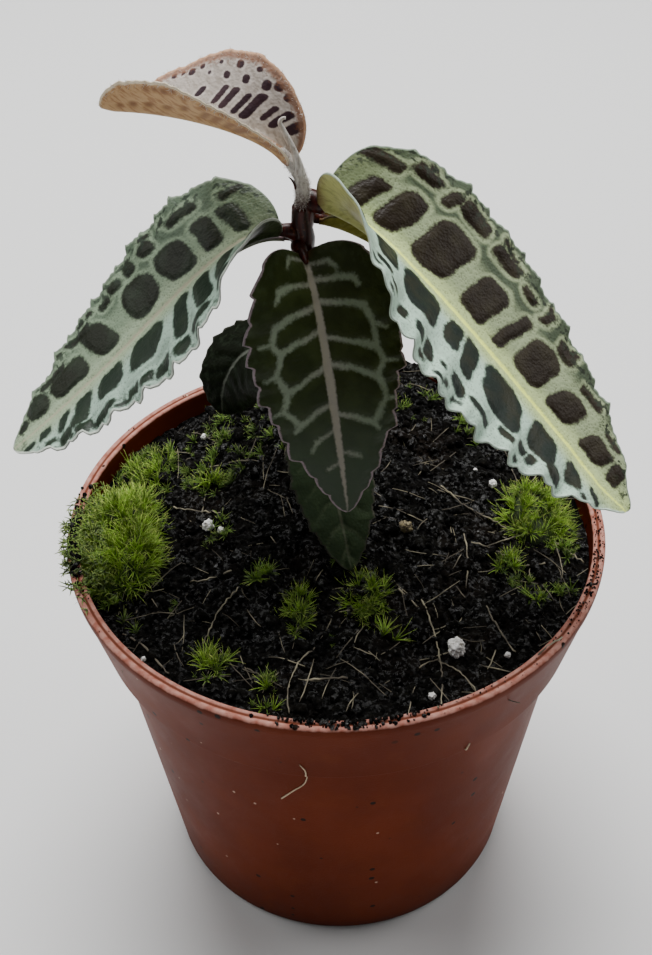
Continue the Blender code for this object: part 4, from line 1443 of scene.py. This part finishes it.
def blade(name, leaf, material, spacing, node):
    """One leaf blade as a closed fine mesh with its pattern as attributes."""
    rows = int(leaf["length"] / spacing) + 1
    shares = np.linspace(0, 1, rows)
    points, y, edge = blade_surface(leaf, shares, spacing)
    x = np.broadcast_to((shares * leaf["length"])[:, None], y.shape)
    net, rib, from_middle = blade_pattern(leaf, shares, x, y)
    upper, lower = blade_depths(leaf, shares, x, y, net, edge, from_middle)
    normal = np.cross(np.gradient(points, axis=0), np.gradient(points, axis=1))
    normal /= np.maximum(np.linalg.norm(normal, axis=2, keepdims=True), 1e-9)
    skins = (points + normal * upper[..., None], points - normal * lower[..., None])
    place = np.vstack([skin.reshape(-1, 3) for skin in skins]) + TO_RIM
    fields = {"net": net, "rib": rib, "edge": edge}
    if "cover" in leaf:
        fields["cover"] = edge < leaf["cover"]
    both = {key: np.tile(value.ravel(), 2) for key, value in fields.items()}
    flat = np.stack([x, y, np.zeros_like(y)], -1).reshape(-1, 3)
    both["blade"] = np.vstack([flat, flat + np.array([0, 0, UNDER_SHIFT])])
    both["under"] = np.repeat([0.0, 1.0], y.size)
    made = piece(name, place, skin_faces(rows, y.shape[1]), [material], both)
    place_on_plant(made, leaf["slot"], node)
    return made


def leaf_skin(name, look):
    """Living leaf: dark cells, a pale net with ragged borders, a midrib, a margin and a back."""
    material, tree, shader = new_material(name)
    flat = add(tree, "ShaderNodeAttribute", attribute_name="blade").node.outputs["Vector"]
    net, rib, edge, under = (
        add(tree, "ShaderNodeAttribute", attribute_name=key).node.outputs["Fac"]
        for key in ("net", "rib", "edge", "under")
    )
    along, across, _ = add(tree, "split", flat).node.outputs
    left_half = add(tree, "step", across, -2.0, 0.5)

    def of_half(key):
        """A number or a colour. A pair is the left half's, then the right half's."""
        value = look[key]
        if not isinstance(value, tuple):
            return value
        kind = "mix" if isinstance(value[0], str) else "ShaderNodeMix"
        return add(tree, kind, left_half, value[1], value[0])

    def over(colour, mask, share, top):
        return add(tree, "mix", add(tree, "multiply", mask, share), colour, top)

    fine = add(tree, "noise", flat, 1 / 0.6, 4.0, 0.65)
    cloud = add(tree, "noise", flat, 1 / 4.5, 2.0)
    pores = add(tree, "cells", flat, 1 / 0.42)
    ragged = add(tree, "multiply", add(tree, "subtract", fine, 0.5), look["ragged"])
    less_ragged = add(tree, "multiply", ragged, 0.6)
    folded = add(tree, "ShaderNodeCombineXYZ", along, add(tree, "absolute", across), 0.0)
    inputs = {"Rotation": (0.0, 0.0, 0.75), "Scale": (2.0, 0.7, 1.0)}
    fibre = add(tree, "drawn out", folded, inputs=inputs, vector_type="TEXTURE")
    streak = add(tree, "step", add(tree, "noise", fibre, 1 / 0.9), 0.48, 0.62)

    cell = blend(tree, of_half("cell"), look["cell_pale"], cloud, 0.4, 0.7, 0.45)
    # Painted sheen: the cells turn a paler grey-green towards the tip, by the tip's share.
    cell = blend(tree, cell, look["tip"], along, *look["tip_sheen_from"], look["tip_sheen_share"])
    pale = blend(tree, of_half("net"), look["net_near"], rib, look["near"], 0.0)
    outer = add(tree, "step", rib, *look["dull_from"])
    outer = add(tree, "multiply", outer, of_half("dull_share"))
    pale = blend(tree, pale, look["dull"], net, *look["dull_gap"], outer)
    pale = over(pale, streak, look["lines"], look["dull"])
    pale = blend(tree, pale, look["cell_pale"], pores, 0.42, 0.12, look["pores"])
    from_base = add(tree, "multiply_add", cloud, 4.0, along)
    shaded = (look["shade_reach"], 3.0, look["shade_share"])
    pale = blend(tree, pale, look["shade"], from_base, *shaded)
    colour = blend(tree, cell, pale, add(tree, "add", net, ragged), *look["net_step"])

    spots = add(tree, "noise", flat, 1 / look["mottle_size"], 3.0, 0.6)
    spots = add(tree, "step", spots, 0.50, 0.60)
    near_margin = add(tree, "step", edge, look["mottle_band"], look["mottle_band"] * 0.3)
    spots = add(tree, "multiply", spots, near_margin)
    colour = over(colour, spots, of_half("mottle_share"), look["mottle"])
    band = (look["band"] * 1.35, look["band"] * 0.7, look["band_share"])
    colour = blend(tree, colour, look["band_colour"], add(tree, "add", edge, ragged), *band)
    rim = add(tree, "add", edge, less_ragged)
    rim = add(tree, "step", rim, look["margin"] * 1.4, look["margin"] * 0.5)
    colour = add(tree, "mix", rim, colour, of_half("edge"))
    ribbed = add(tree, "step", add(tree, "add", rib, less_ragged), 0.18, -0.22)
    colour = add(tree, "mix", ribbed, colour, look["rib"])

    back = blend(tree, look["under"], look["under_vein"], net, -0.4, 0.5)
    back = over(back, add(tree, "step", spots, 0.0, 1.0), 0.3, look["under"])
    back = over(back, cloud, 0.5, look["under_cloud"])
    back = over(back, streak, look["streak_share"], look["streak"])
    back = over(back, rim, 0.8, of_half("edge"))
    back = over(back, ribbed, 0.7, look["under_vein"])
    base = add(tree, "multiply_add", cloud, 2.5, along)
    base = add(tree, "step", base, look["blush_reach"] + 2.5, look["blush_reach"])
    back = over(back, base, 0.85, look["blush"])
    colour = blend(tree, colour, look["blush"], rib, 1.6, 0.2, base)
    colour = add(tree, "mix", under, colour, back)

    roughness = add(tree, "multiply_add", fine, 0.18, look["gloss"])
    relief = add(tree, "multiply_add", fine, 0.8, pores)
    finish_shader(tree, shader, colour, roughness, relief, 0.05, look["shine"])
    return material


# The dark cells lie in rows between the side veins. A big cell beside the midrib is its start and
# end along the midrib and its outer edge across the blade, in mm, and how far its side veins lean
# towards the tip, in degrees. The small cells of the second row have only a start and an end.
BIG_CELLS = {
    "leaf_right": {
        "left": (
            (3.5, 6.5, 7.0, 25), (8.5, 12.5, 8.5, 15), (15.0, 22.0, 9.5, 10), (25.0, 30.5, 8.0, 10),
            (33.0, 35.0, 8.0, 15), (37.0, 43.0, 7.5, 5), (45.0, 50.5, 5.5, 20), (53.0, 58.0, 4.0, 20),
            (59.0, 61.5, 3.5, 0),
        ),
        "right": (
            (5.0, 8.0, 12.5, 0), (10.0, 14.0, 10.0, 10), (16.0, 23.5, 10.5, 10), (25.5, 28.5, 9.5, 5),
            (29.5, 32.5, 11.0, 10), (34.5, 43.0, 11.0, 20), (45.0, 50.5, 9.5, 10),
            (53.0, 56.5, 7.5, 15), (58.0, 61.0, 5.5, 15),
        ),
    },
    "leaf_left": {
        "left": (
            (3.0, 5.0, 7.0, 0), (7.5, 10.5, 9.0, 5), (12.0, 15.5, 10.0, 0), (17.5, 20.5, 10.0, 15),
            (23.0, 30.0, 7.5, 25), (32.0, 37.0, 6.5, 20), (39.0, 42.5, 7.0, 30),
            (43.5, 45.5, 5.0, 30), (47.0, 49.5, 3.5, 20), (50.5, 53.0, 3.0, 0),
        ),
        "right": (
            (4.5, 7.0, 6.5, 15), (8.5, 11.5, 7.0, 5), (13.5, 19.0, 7.5, 15), (20.5, 27.0, 7.5, 5),
            (31.0, 35.5, 7.5, 20), (37.0, 44.5, 5.0, 10), (45.5, 50.0, 5.0, 0),
            (50.5, 52.5, 3.0, 0),
        ),
    },
}
SMALL_CELLS = {
    "leaf_right": {
        "left": (
            (2.5, 7.5), (8.5, 12.5), (14.0, 16.0), (16.5, 22.0), (24.0, 29.5), (31.0, 34.0),
            (36.0, 37.5), (40.5, 44.5), (47.5, 52.0), (55.0, 57.5),
        ),
        "right": (
            (11.0, 14.0), (14.5, 16.0), (17.5, 19.5), (21.0, 23.0), (24.0, 26.0), (27.5, 28.5),
            (30.0, 33.5), (34.5, 39.0), (41.0, 43.5), (44.5, 46.5), (47.0, 48.5), (50.0, 53.5),
        ),
    },
    "leaf_left": {
        "left": (
            (8.0, 11.0), (13.0, 18.0), (19.0, 22.0), (23.0, 26.5), (27.0, 29.5), (30.0, 32.5),
            (35.0, 39.5), (40.0, 43.0), (43.5, 46.5), (47.0, 49.0),
        ),
        "right": (
            (3.5, 6.5), (9.5, 14.5), (18.0, 20.5), (22.0, 24.5), (25.5, 28.0), (28.5, 31.0),
            (33.5, 38.5), (40.5, 46.0),
        ),
    },
}
SECOND_ROW = {  # where the second row starts and ends, as shares of the half blade's width
    "leaf_right": {"left": (0.73, 0.89), "right": (0.75, 0.86)},
    "leaf_left": {"left": (0.77, 0.92), "right": (0.72, 0.87)},
}
RIB_CLEAR = {"leaf_right": 2.1, "leaf_left": 1.7}  # mm of pale net between the midrib and a cell
CRUMBS = 9  # specks of dark blade along each margin
CRUMB_HALF_LENGTH = (0.3, 0.8)
CRUMB_HALF_BREADTH = (0.25, 0.4)


def cell_between(half, start, end, inner, outer, lean):
    """One cell from its ends along the midrib and its edges across the half blade."""
    sign = 1 if half == "left" else -1
    length = (end - start) * math.cos(math.radians(lean))
    return (start + end) / 2, sign * (inner + outer) / 2, length / 2, (outer - inner) / 2, sign * lean


def net_cells(node, leaf, seed):
    """The cells of a netted leaf: two rows on each half, and crumbs along the margins."""
    draw = random.Random(seed)
    rib_shares, rib_middles, _ = zip(*leaf["rib"])
    cells = []
    for half, sign in (("left", 1), ("right", -1)):
        for start, end, outer, lean in BIG_CELLS[node][half]:
            share = (start + end) / 2 / leaf["length"]
            inner = sign * np.interp(share, rib_shares, rib_middles) + RIB_CLEAR[node]
            cells.append(cell_between(half, start, end, inner, outer, lean))
        for start, end in SMALL_CELLS[node][half]:
            width = half_width(leaf[half], (start + end) / 2 / leaf["length"])
            row = SECOND_ROW[node][half]
            inner, outer = (share * width * draw.uniform(0.95, 1.05) for share in row)
            cells.append(cell_between(half, start, end, inner, outer, draw.uniform(-10, 25)))
        for _ in range(CRUMBS):
            along = draw.uniform(0.15, 0.9) * leaf["length"]
            across = half_width(leaf[half], along / leaf["length"]) * draw.uniform(0.9, 0.96)
            size = (draw.uniform(*CRUMB_HALF_LENGTH), draw.uniform(*CRUMB_HALF_BREADTH))
            cells.append((along, sign * across, *size, 0))
    return cells


# The young leaf's cells are narrow slots that lean back to its base, then round spots further
# out. They are the same on both halves: start, end, inner and outer edge in mm.
YOUNG_SLOTS = (
    (1.8, 3.1, 2.4, 5.2), (3.6, 4.8, 1.9, 5.4), (5.3, 6.2, 2.2, 5.0), (7.2, 8.6, 1.4, 5.8),
    (9.0, 10.0, 1.6, 5.2), (10.7, 11.8, 2.0, 5.6), (12.1, 13.1, 2.4, 5.5), (15.0, 16.0, 3.0, 4.8),
    (17.6, 18.8, 2.2, 3.4), (20.3, 21.5, 2.0, 3.2), (22.8, 24.0, 1.6, 2.6), (25.1, 26.1, 1.1, 1.9),
)
YOUNG_SLOT_LEAN = -24
YOUNG_SPOTS = 13
YOUNG_SPOTS_START = 4.6  # mm along the midrib
YOUNG_SPOT_SPACING = 1.3
YOUNG_SPOT_REACH = (6.9, 8.8)  # mm across, for the inner and the outer spots by turns


def young_cells(leaf):
    """Slots and spots of the young leaf, mirrored on its midrib."""
    draw = random.Random(17)
    cells = []
    for start, end, inner, outer in YOUNG_SLOTS:
        for half in ("left", "right"):
            cells.append(cell_between(half, start, end, inner, outer, YOUNG_SLOT_LEAN))
    for k in range(YOUNG_SPOTS):
        along = YOUNG_SPOTS_START + YOUNG_SPOT_SPACING * k
        width = half_width(leaf["right"], along / leaf["length"])
        across = min(YOUNG_SPOT_REACH[k % 2], 0.84 * width)
        size = draw.uniform(0.3, 0.6)
        for sign in (1, -1):
            cells.append((along, sign * across, size, size * 1.3, 0))
    return cells


# The front leaf's side veins thicken outwards. Each is its start along the midrib in mm, the share
# of the half blade that it crosses, and whether an arch joins it to the next one.
FRONT_VEINS = {
    "left": (
        (2.5, 0.40, False), (4.5, 0.60, False), (8.0, 0.62, True), (13.0, 0.66, True),
        (17.0, 0.66, True), (24.5, 0.62, False), (30.5, 0.45, False),
    ),
    "right": (
        (1.5, 0.50, False), (5.0, 0.64, False), (8.5, 0.66, True), (12.0, 0.62, True),
        (17.5, 0.62, True), (23.0, 0.58, False), (27.0, 0.45, False), (32.0, 0.40, False),
    ),
}


def arched_veins(leaf, rows):
    """Side veins with a thick end, arches between their ends, and twigs out of the arches."""
    veins = []
    for half, sign in (("left", 1), ("right", -1)):
        ends = []
        for start, share, arched in rows[half]:
            reach = share * half_width(leaf[half], start / leaf["length"])
            strength = min(1.0, reach / 6.5)
            drift = 0.42 * min(1.0, start / 15.0)
            bend = (start + 0.4 * drift * reach, sign * 0.5 * reach, 0.35 * strength)
            end = (start + drift * reach, sign * reach, 0.5 * strength)
            veins.append(((start, 0.2 * sign, 0.3 * strength), bend, end))
            ends.append((end, arched, strength))
        for (end, arched, strength), (following, _, _) in zip(ends, ends[1:]):
            if arched:
                crown = ((end[0] + following[0]) / 2, sign * (abs(end[1]) + 0.9), 0.3)
                veins.append((end, crown, following))
                veins.append((crown, (crown[0] + 0.5, crown[1] + 1.9 * sign, 0.12)))
            else:
                veins.append((end, (end[0] + 1.1, end[1] + 0.7 * sign, 0.3 * strength)))
    return veins


def side_veins(length, widths, pairs, half):
    """Thin paired side veins for the leaves that are mostly hidden."""
    veins = []
    for k in range(pairs):
        share = 0.10 + 0.78 * k / (pairs - 1)
        for sign in (1, -1):
            reach = 0.85 * half_width(widths, min(share + 0.08, 0.97))
            start = share * length + (0.6 if sign > 0 else 0.0)
            bend = (start + 1.2, sign * 0.5 * reach, half)
            veins.append(((start, 0.0, half), bend, (start + 3.4, sign * reach, half * 0.5)))
    return tuple(veins)


# The looks. A pair of colours or shares is for the left half and the right half of the blade, and
# other pairs are from where to where something fades in, in mm. The pairs of cell, net and margin
# colours are partly the leaf's own and partly painted sheen: the half that is folded up more steeply
# is the paler and bluer one.
# Painted sheen: the right half, folded up more steeply, has the paler, bluer cells, net and margin.
LOOK_NETTED = dict(  # a mint and yellow-green net round dark cells
    cell=("#20170b", "#1d2620"), cell_pale="#3a3524",
    net=("#99a680", "#b6d2be"), net_near="#bccc88", near=4.2, net_step=(-0.12, 0.5),
    pores=0.45, ragged=1.1, lines=0.08,
    dull="#434f3b", dull_share=(0.95, 0.1), dull_gap=(0.5, 1.2), dull_from=(7.5, 10.5),
    mottle="#252c1e", mottle_share=(0.95, 0.08), mottle_size=1.1, mottle_band=4.6,
    margin=0.3, edge=("#7b8a76", "#c0d3c4"), rib="#f2ff7e",
    band=0.8, band_share=0.0, band_colour="#5c6d52",
    tip="#4a5548", tip_sheen_from=(24.0, 38.0), tip_sheen_share=0.0,
    shade="#465126", shade_reach=12.0, shade_share=0.65,
    under="#918f46", under_vein="#b9bb78", under_cloud="#989549",
    streak="#5f632a", streak_share=0.35, blush="#5f3216", blush_reach=1.0,
    gloss=0.34, shine=0.18,
)
# Painted sheen: the left half, folded up more steeply, has the paler, bluer net and margin.
LOOK_LEFT = dict(  # bluer and greyer, with a nearly black back
    LOOK_NETTED, cell=("#1b281c", "#171b0d"), cell_pale="#2e3a2a",
    net=("#a3bcab", "#7e9076"), net_near="#97a687",
    dull="#41513f", dull_share=(0.35, 0.8), dull_from=(5.5, 8.0),
    mottle="#1f2a1e", mottle_share=(0.6, 0.85), margin=0.42, edge=("#c4cbbf", "#74826f"), rib="#a19f87",
    shade="#333c1c", shade_reach=13.0, shade_share=0.7,
    # Painted shade: the back is painted nearly black.
    under="#171d0f", under_vein="#38422a", under_cloud="#20280f",
    streak="#12170b", blush="#2f140c", blush_reach=0.3,
)
# Its paler grey-green tip is a painted sheen.
LOOK_FRONT = dict(  # satin dark green with thin grey-green veins
    LOOK_NETTED, cell=("#262c12", "#252d14"), cell_pale="#3b4524",
    net=("#75806e", "#7b8673"), net_near="#83857a", net_step=(-0.42, 0.28), pores=0.15,
    dull_share=0.0, mottle="#4a5a44", mottle_share=(0.12, 0.1), edge="#97868c", rib="#938e83",
    tip_sheen_from=(18.0, 36.0), tip_sheen_share=0.7, shade_share=0.0,
    under="#3a4226", under_vein="#6b7350", under_cloud="#46502c",
    streak="#39411f", blush_reach=0.2, shine=0.15,
)
LOOK_DARK = dict(  # in the shade of the others, with faint veins
    LOOK_FRONT, cell="#384631", cell_pale="#414f37", net="#4a5740", net_near="#5a644d",
    edge="#4c4c42", rib="#5f6452", tip_sheen_share=0.0, shine=0.1,
)
# Painted shade: the low leaf under the others is painted near black.
LOOK_SHADE_BLACK = dict(  # so dark that only its midrib shows
    LOOK_DARK, cell="#0c1006", cell_pale="#11160b", net="#141a10", net_near="#1d231a",
    edge="#26271f", rib="#4d5048", shine=0.04,
)
LOOK_YOUNG = dict(  # duller, pinkish white and purple, with a tan margin and back
    LOOK_NETTED, cell="#2f1f26", cell_pale="#4a3438",
    net="#c5bcb4", net_near="#cbc2b6", net_step=(-0.14, 0.08), pores=0.1, ragged=0.3, lines=0.4,
    dull="#857b6e", dull_share=0.35, dull_gap=(0.04, 0.5), dull_from=(0.2, 1.2),
    mottle="#6d4229", mottle_share=0.8, mottle_size=0.5, mottle_band=3.0,
    margin=0.46, edge=("#f0e2c6", "#c39a7c"), rib="#c9a184",
    band=1.35, band_share=0.85, band_colour="#8a6550", shade_share=0.0,
    under="#7c5033", under_vein="#c29c70", under_cloud="#b6905f",
    streak="#8f5f3a", streak_share=0.6, blush="#7d5046", gloss=0.5, shine=0.15,
)
# Painted light: the back's yellow-olive is painted brighter than the leaf's own, to stand in for light
# that the leaves above keep off it.
LOOK_OLIVE = dict(  # its yellow-olive back is turned to the light
    LOOK_DARK, cell="#44431a", cell_pale="#5d5b24", net="#827f42", net_near="#8f8b4c", rib="#6a4a22",
    under="#9a9344", under_vein="#b4ad64", under_cloud="#a39c4c",
    streak="#77732f", blush="#6f4a20", blush_reach=0.8,
)

# Warp is how far in mm a net strays, roundness how round its cells are, quilt the share of their
# full bulge, and frill the heights of the margin's quick waves on the left and the right half.
GREEN_LEAF = dict(slot="leaf_green", warp=0.4, roundness=0.62, quilt=1.0, frill=(0.0, 0.0))


def small_leaf(length, half, teeth, pairs, vein, **rest):
    """A small leaf, alike on both halves, with its greatest half width and thin side veins."""
    widths = elliptic(half)
    both = dict(left=widths, right=widths, teeth_left=teeth, teeth_right=teeth)
    both["veins"] = side_veins(length, widths, pairs, vein)
    return {**GREEN_LEAF, **both, "length": length, "wave": (0.1, 0.1), "waves": 4, **rest}


# Each leaf's length, its turn, its pitch beyond the base and at the tip, its roll, and its folds
# from the base to the tip; then its slow waves, the half widths of both halves, their teeth as a
# kind, a count and a height, and the midrib as its share of the length, its middle and its half
# width. All are in mm and degrees. A blade's base, heading and pitch there are its petiole's.
LEAVES = {
    "leaf_right": dict(
        GREEN_LEAF, turn=-13, pitch=(-44, -42), length=65.5,
        roll=(7, 1), fold_left=(37, 8), fold_right=(84, 7), wave=(0.3, 0.8), waves=9,
        left=(0, 8.4, 12.8, 15.0, 15.4, 15.2, 14.0, 12.4, 10.7, 8.5, 5.4, 1.9, 0),
        right=(0, 9.6, 14.4, 17.2, 18.0, 18.0, 17.6, 16.4, 14.2, 11.2, 7.2, 3.0, 0),
        teeth_left=("saw", 16, 1.1), teeth_right=("scallop", 21, 0.9), frill=(0.1, 0.3),
        rib=(
            (0, 0, 0.7), (0.1, -0.8, 0.6), (0.25, -1.8, 0.5), (0.8, -2.0, 0.36), (0.9, -2.4, 0.28),
            (1, -1, 0.15),
        ),
    ),
    "leaf_left": dict(
        {**GREEN_LEAF, "roundness": 0.75}, turn=8,
        pitch=(-50, -36), length=54.5, roll=(-12, 0), fold_left=(80, -1), fold_right=(24, 10),
        wave=(0.6, 0.3), waves=8,
        left=(0, 5.5, 9.5, 12.8, 14.2, 14.0, 13.0, 11.5, 10.4, 8.5, 5.8, 2.6, 0),
        right=(0, 6.0, 10.4, 12.4, 12.6, 12.4, 11.2, 10.2, 9.0, 6.8, 4.7, 2.0, 0),
        teeth_left=("saw", 17, 0.8), teeth_right=("saw", 17, 1.15), frill=(0.25, 0.15),
        rib=((0, 0, 0.5), (0.15, 0.8, 0.5), (0.6, 0.9, 0.36), (0.9, 0.6, 0.25), (1, 0.3, 0.12)),
    ),
    "leaf_front": dict(
        GREEN_LEAF, turn=-3, pitch=(-62, -67), length=40.0,
        roll=(-6, 5), fold_left=(42, 1), fold_right=(38, -1), wave=(0.2, 0.2), waves=5,
        left=(0, 6.4, 9.6, 11.2, 11.7, 11.4, 10.4, 9.3, 7.9, 5.8, 3.4, 1.7, 0),
        right=(0, 6.0, 8.8, 10.6, 11.0, 11.1, 10.0, 8.9, 7.3, 5.3, 3.0, 1.5, 0),
        teeth_left=("round", 14, 1.25), teeth_right=("round", 13, 1.3), frill=(0.2, 0.2),
        rib=((0, 0, 0.45), (0.5, 0, 0.7), (0.75, 0, 0.5), (0.97, 0, 0.12), (1, 0, 0.05)),
    ),
    "leaf_young": dict(
        slot="leaf_pink", turn=-13, pitch=(22, -12),
        length=29.6, roll=(-28, 22), fold_left=(68, 55), fold_right=(64, 34), wave=(0.1, 0.1), waves=4,
        left=(0, 2.6, 5.0, 6.4, 7.2, 8.0, 8.6, 8.3, 7.2, 5.8, 4.2, 2.2, 0),
        right=(0, 3.2, 6.4, 8.8, 10.4, 10.6, 9.9, 8.6, 7.0, 5.3, 3.6, 1.9, 0),
        teeth_left=("scallop", 21, 0.35), teeth_right=("scallop", 21, 0.35), frill=(0.12, 0.12),
        warp=0.12, roundness=0.95, quilt=0.6, cover=0.9,
        rib=((0, 0, 0.6), (0.5, 0, 0.45), (1, 0, 0.1)),
    ),
    "leaf_low_front": small_leaf(
        31.5, 6.6, ("saw", 13, 0.7), 7, 0.14, turn=0,
        pitch=(-38, -55), roll=(0, 1), fold_left=(8, 5), fold_right=(8, 4),
        rib=((0, 0, 0.4), (0.7, 0, 0.25), (1, 0, 0.05)),
    ),
    "leaf_low_left": small_leaf(
        21.7, 6.3, ("saw", 13, 0.7), 7, 0.14, turn=80,
        pitch=(2, -98), roll=(-20, -10), fold_left=(8, 5), fold_right=(8, 5), left=elliptic(9.0),
        rib=((0, 0, 0.4), (0.5, 0, 0.28), (0.8, 0, 0.2), (1, 0, 0.05)),
    ),
    "leaf_back_left": small_leaf(
        27.0, 6.2, ("saw", 12, 0.6), 6, 0.22, turn=4,
        pitch=(-30, -62), roll=(8, 0), fold_left=(15, 8), fold_right=(15, 8),
        rib=((0, 0, 0.5), (0.7, 0, 0.3), (1, 0, 0.05)),
    ),
    "leaf_back_right": small_leaf(
        25.0, 4.4, ("saw", 10, 0.3), 7, 0.22, turn=4,
        pitch=(-30, -48), roll=(-4, 0), fold_left=(72, 58), fold_right=(76, 62),
        rib=((0, 0, 0.45), (0.7, 0, 0.3), (1, 0, 0.05)),
    ),
}
SKINS = {  # material name, its look, and the mesh's spacing in mm
    "leaf_right": ("mint-netted leaf", LOOK_NETTED, 0.32),
    "leaf_left": ("grey-green netted leaf", LOOK_LEFT, 0.32),
    "leaf_front": ("dark leaf with grey-green veins", LOOK_FRONT, 0.28),
    "leaf_young": ("young tan and purple leaf", LOOK_YOUNG, 0.26),
    "leaf_low_front": ("dark green low leaf", LOOK_DARK, 0.4),
    "leaf_low_left": ("low leaf painted near black as shade", LOOK_SHADE_BLACK, 0.4),
    "leaf_back_left": ("dark green back leaf", LOOK_FRONT, 0.4),
    "leaf_back_right": ("olive-backed leaf with painted light", LOOK_OLIVE, 0.4),
}
LEAVES["leaf_front"]["veins"] = arched_veins(LEAVES["leaf_front"], FRONT_VEINS)
LEAVES["leaf_young"]["cells"] = young_cells(LEAVES["leaf_young"])
for seed, node in enumerate(BIG_CELLS):
    LEAVES[node]["cells"] = net_cells(node, LEAVES[node], 5 + seed)
for node, petiole in {**PETIOLES, "leaf_young": WOOLLY_PETIOLE}.items():
    _, base, heading, pitch, _, _ = petiole
    LEAVES[node].update(base=base, heading=heading, base_pitch=pitch)
blades = {}
for node, (material_name, look, spacing) in SKINS.items():
    skin = leaf_skin(material_name, look)
    blades[node] = blade(node + "_blade", LEAVES[node], skin, spacing, node)

fringe = [hair_shape(f"fringe_{k}", 0.55, 0.5, k) for k in range(3)]
young_blade = blades["leaf_young"]
young_hair = scattered("young_leaf_hair", young_blade, fringe, white_hair, 4.0, 88, (0.5, 1.1), 35)
place_on_plant(young_hair, "leaf_pink")


# The floor, the lights and the camera
# A plain pale floor, one large soft light above and behind, weaker ones from the sides and front,
# and the camera where the photo was taken from: about 43 degrees up and 225 mm away.

CAMERA_DISTANCE = 225.0
CAMERA_ELEVATION = 42.975
CAMERA_PITCH = 41.264
CAMERA_PAN = -0.52
CAMERA_ROLL = -1.132
CAMERA_LENS = 50.22
FLOOR_HALF = 1500.0
FLOOR_LEVEL = -0.05
ROOM_LIGHT = 0.10
LIGHT_TARGET = Vector((0.0, 0.0, 90.0)) * MM
LIGHTS = (  # name, direction it comes from, its elevation, distance mm, width mm, power in watts
    ("soft_top", 95.0, 66.0, 900.0, 700.0, 16.0),
    ("soft_left", 170.0, 34.0, 900.0, 600.0, 2.4),
    ("soft_right", 15.0, 32.0, 900.0, 600.0, 2.6),
    ("soft_front", -90.0, 52.0, 1000.0, 700.0, 0.5),
)


def floor_paint():
    """Matt pale grey paper."""
    material, tree, shader = new_material("matt pale paper")
    tone = add(tree, "noise", own_place(tree), 1 / 60.0, 2.0)
    colour = add(tree, "mix", add(tree, "multiply", tone, 0.1), "#e4e4e3", "#d8d8d7")
    finish_shader(tree, shader, colour, 0.9, tone, 0.01)
    return material


corner_signs = ((-1, -1), (1, -1), (1, 1), (-1, 1))
floor_corners = [(sx * FLOOR_HALF, sy * FLOOR_HALF, FLOOR_LEVEL) for sx, sy in corner_signs]
floor = piece("floor", floor_corners, [(0, 1, 2, 3)], [floor_paint()], outward=False)

for name, heading, elevation, distance, width, power in LIGHTS:
    lamp = bpy.data.lights.new(name, "AREA")
    lamp.shape = "DISK"
    lamp.size = width * MM
    lamp.energy = power
    away = Vector(tuple(direction(heading, elevation))) * distance * MM
    light = in_scene(name, lamp)
    light.location = LIGHT_TARGET + away
    light.rotation_euler = away.to_track_quat("Z", "Y").to_euler()

world = bpy.data.worlds.new("pale_room")
world.use_nodes = True
room = world.node_tree.nodes["Background"]
room.inputs["Color"].default_value = linear("#eef1f4")
room.inputs["Strength"].default_value = ROOM_LIGHT
bpy.context.scene.world = world

lens = bpy.data.cameras.new("photo_camera")
lens.lens = CAMERA_LENS
lens.sensor_width = 36.0
lens.sensor_fit = "AUTO"
lens.clip_start = 0.01
eye = in_scene("photo_camera", lens)
pan, pitch, roll = (math.radians(a) for a in (CAMERA_PAN, CAMERA_PITCH, CAMERA_ROLL))
rise = math.radians(CAMERA_ELEVATION)
forward = Vector((math.sin(pan) * math.cos(pitch), math.cos(pan) * math.cos(pitch), -math.sin(pitch)))
right = forward.cross(Vector((0, 0, 1))).normalized()
over = right.cross(forward)
turned_right = right * math.cos(roll) + over * math.sin(roll)
turned_over = over * math.cos(roll) - right * math.sin(roll)
spot = Vector((0, -CAMERA_DISTANCE * math.cos(rise), POT_HEIGHT + CAMERA_DISTANCE * math.sin(rise))) * MM
turn = Matrix((turned_right, turned_over, -forward)).transposed()
eye.matrix_world = Matrix.Translation(spot) @ turn.to_4x4()
bpy.context.scene.camera = eye
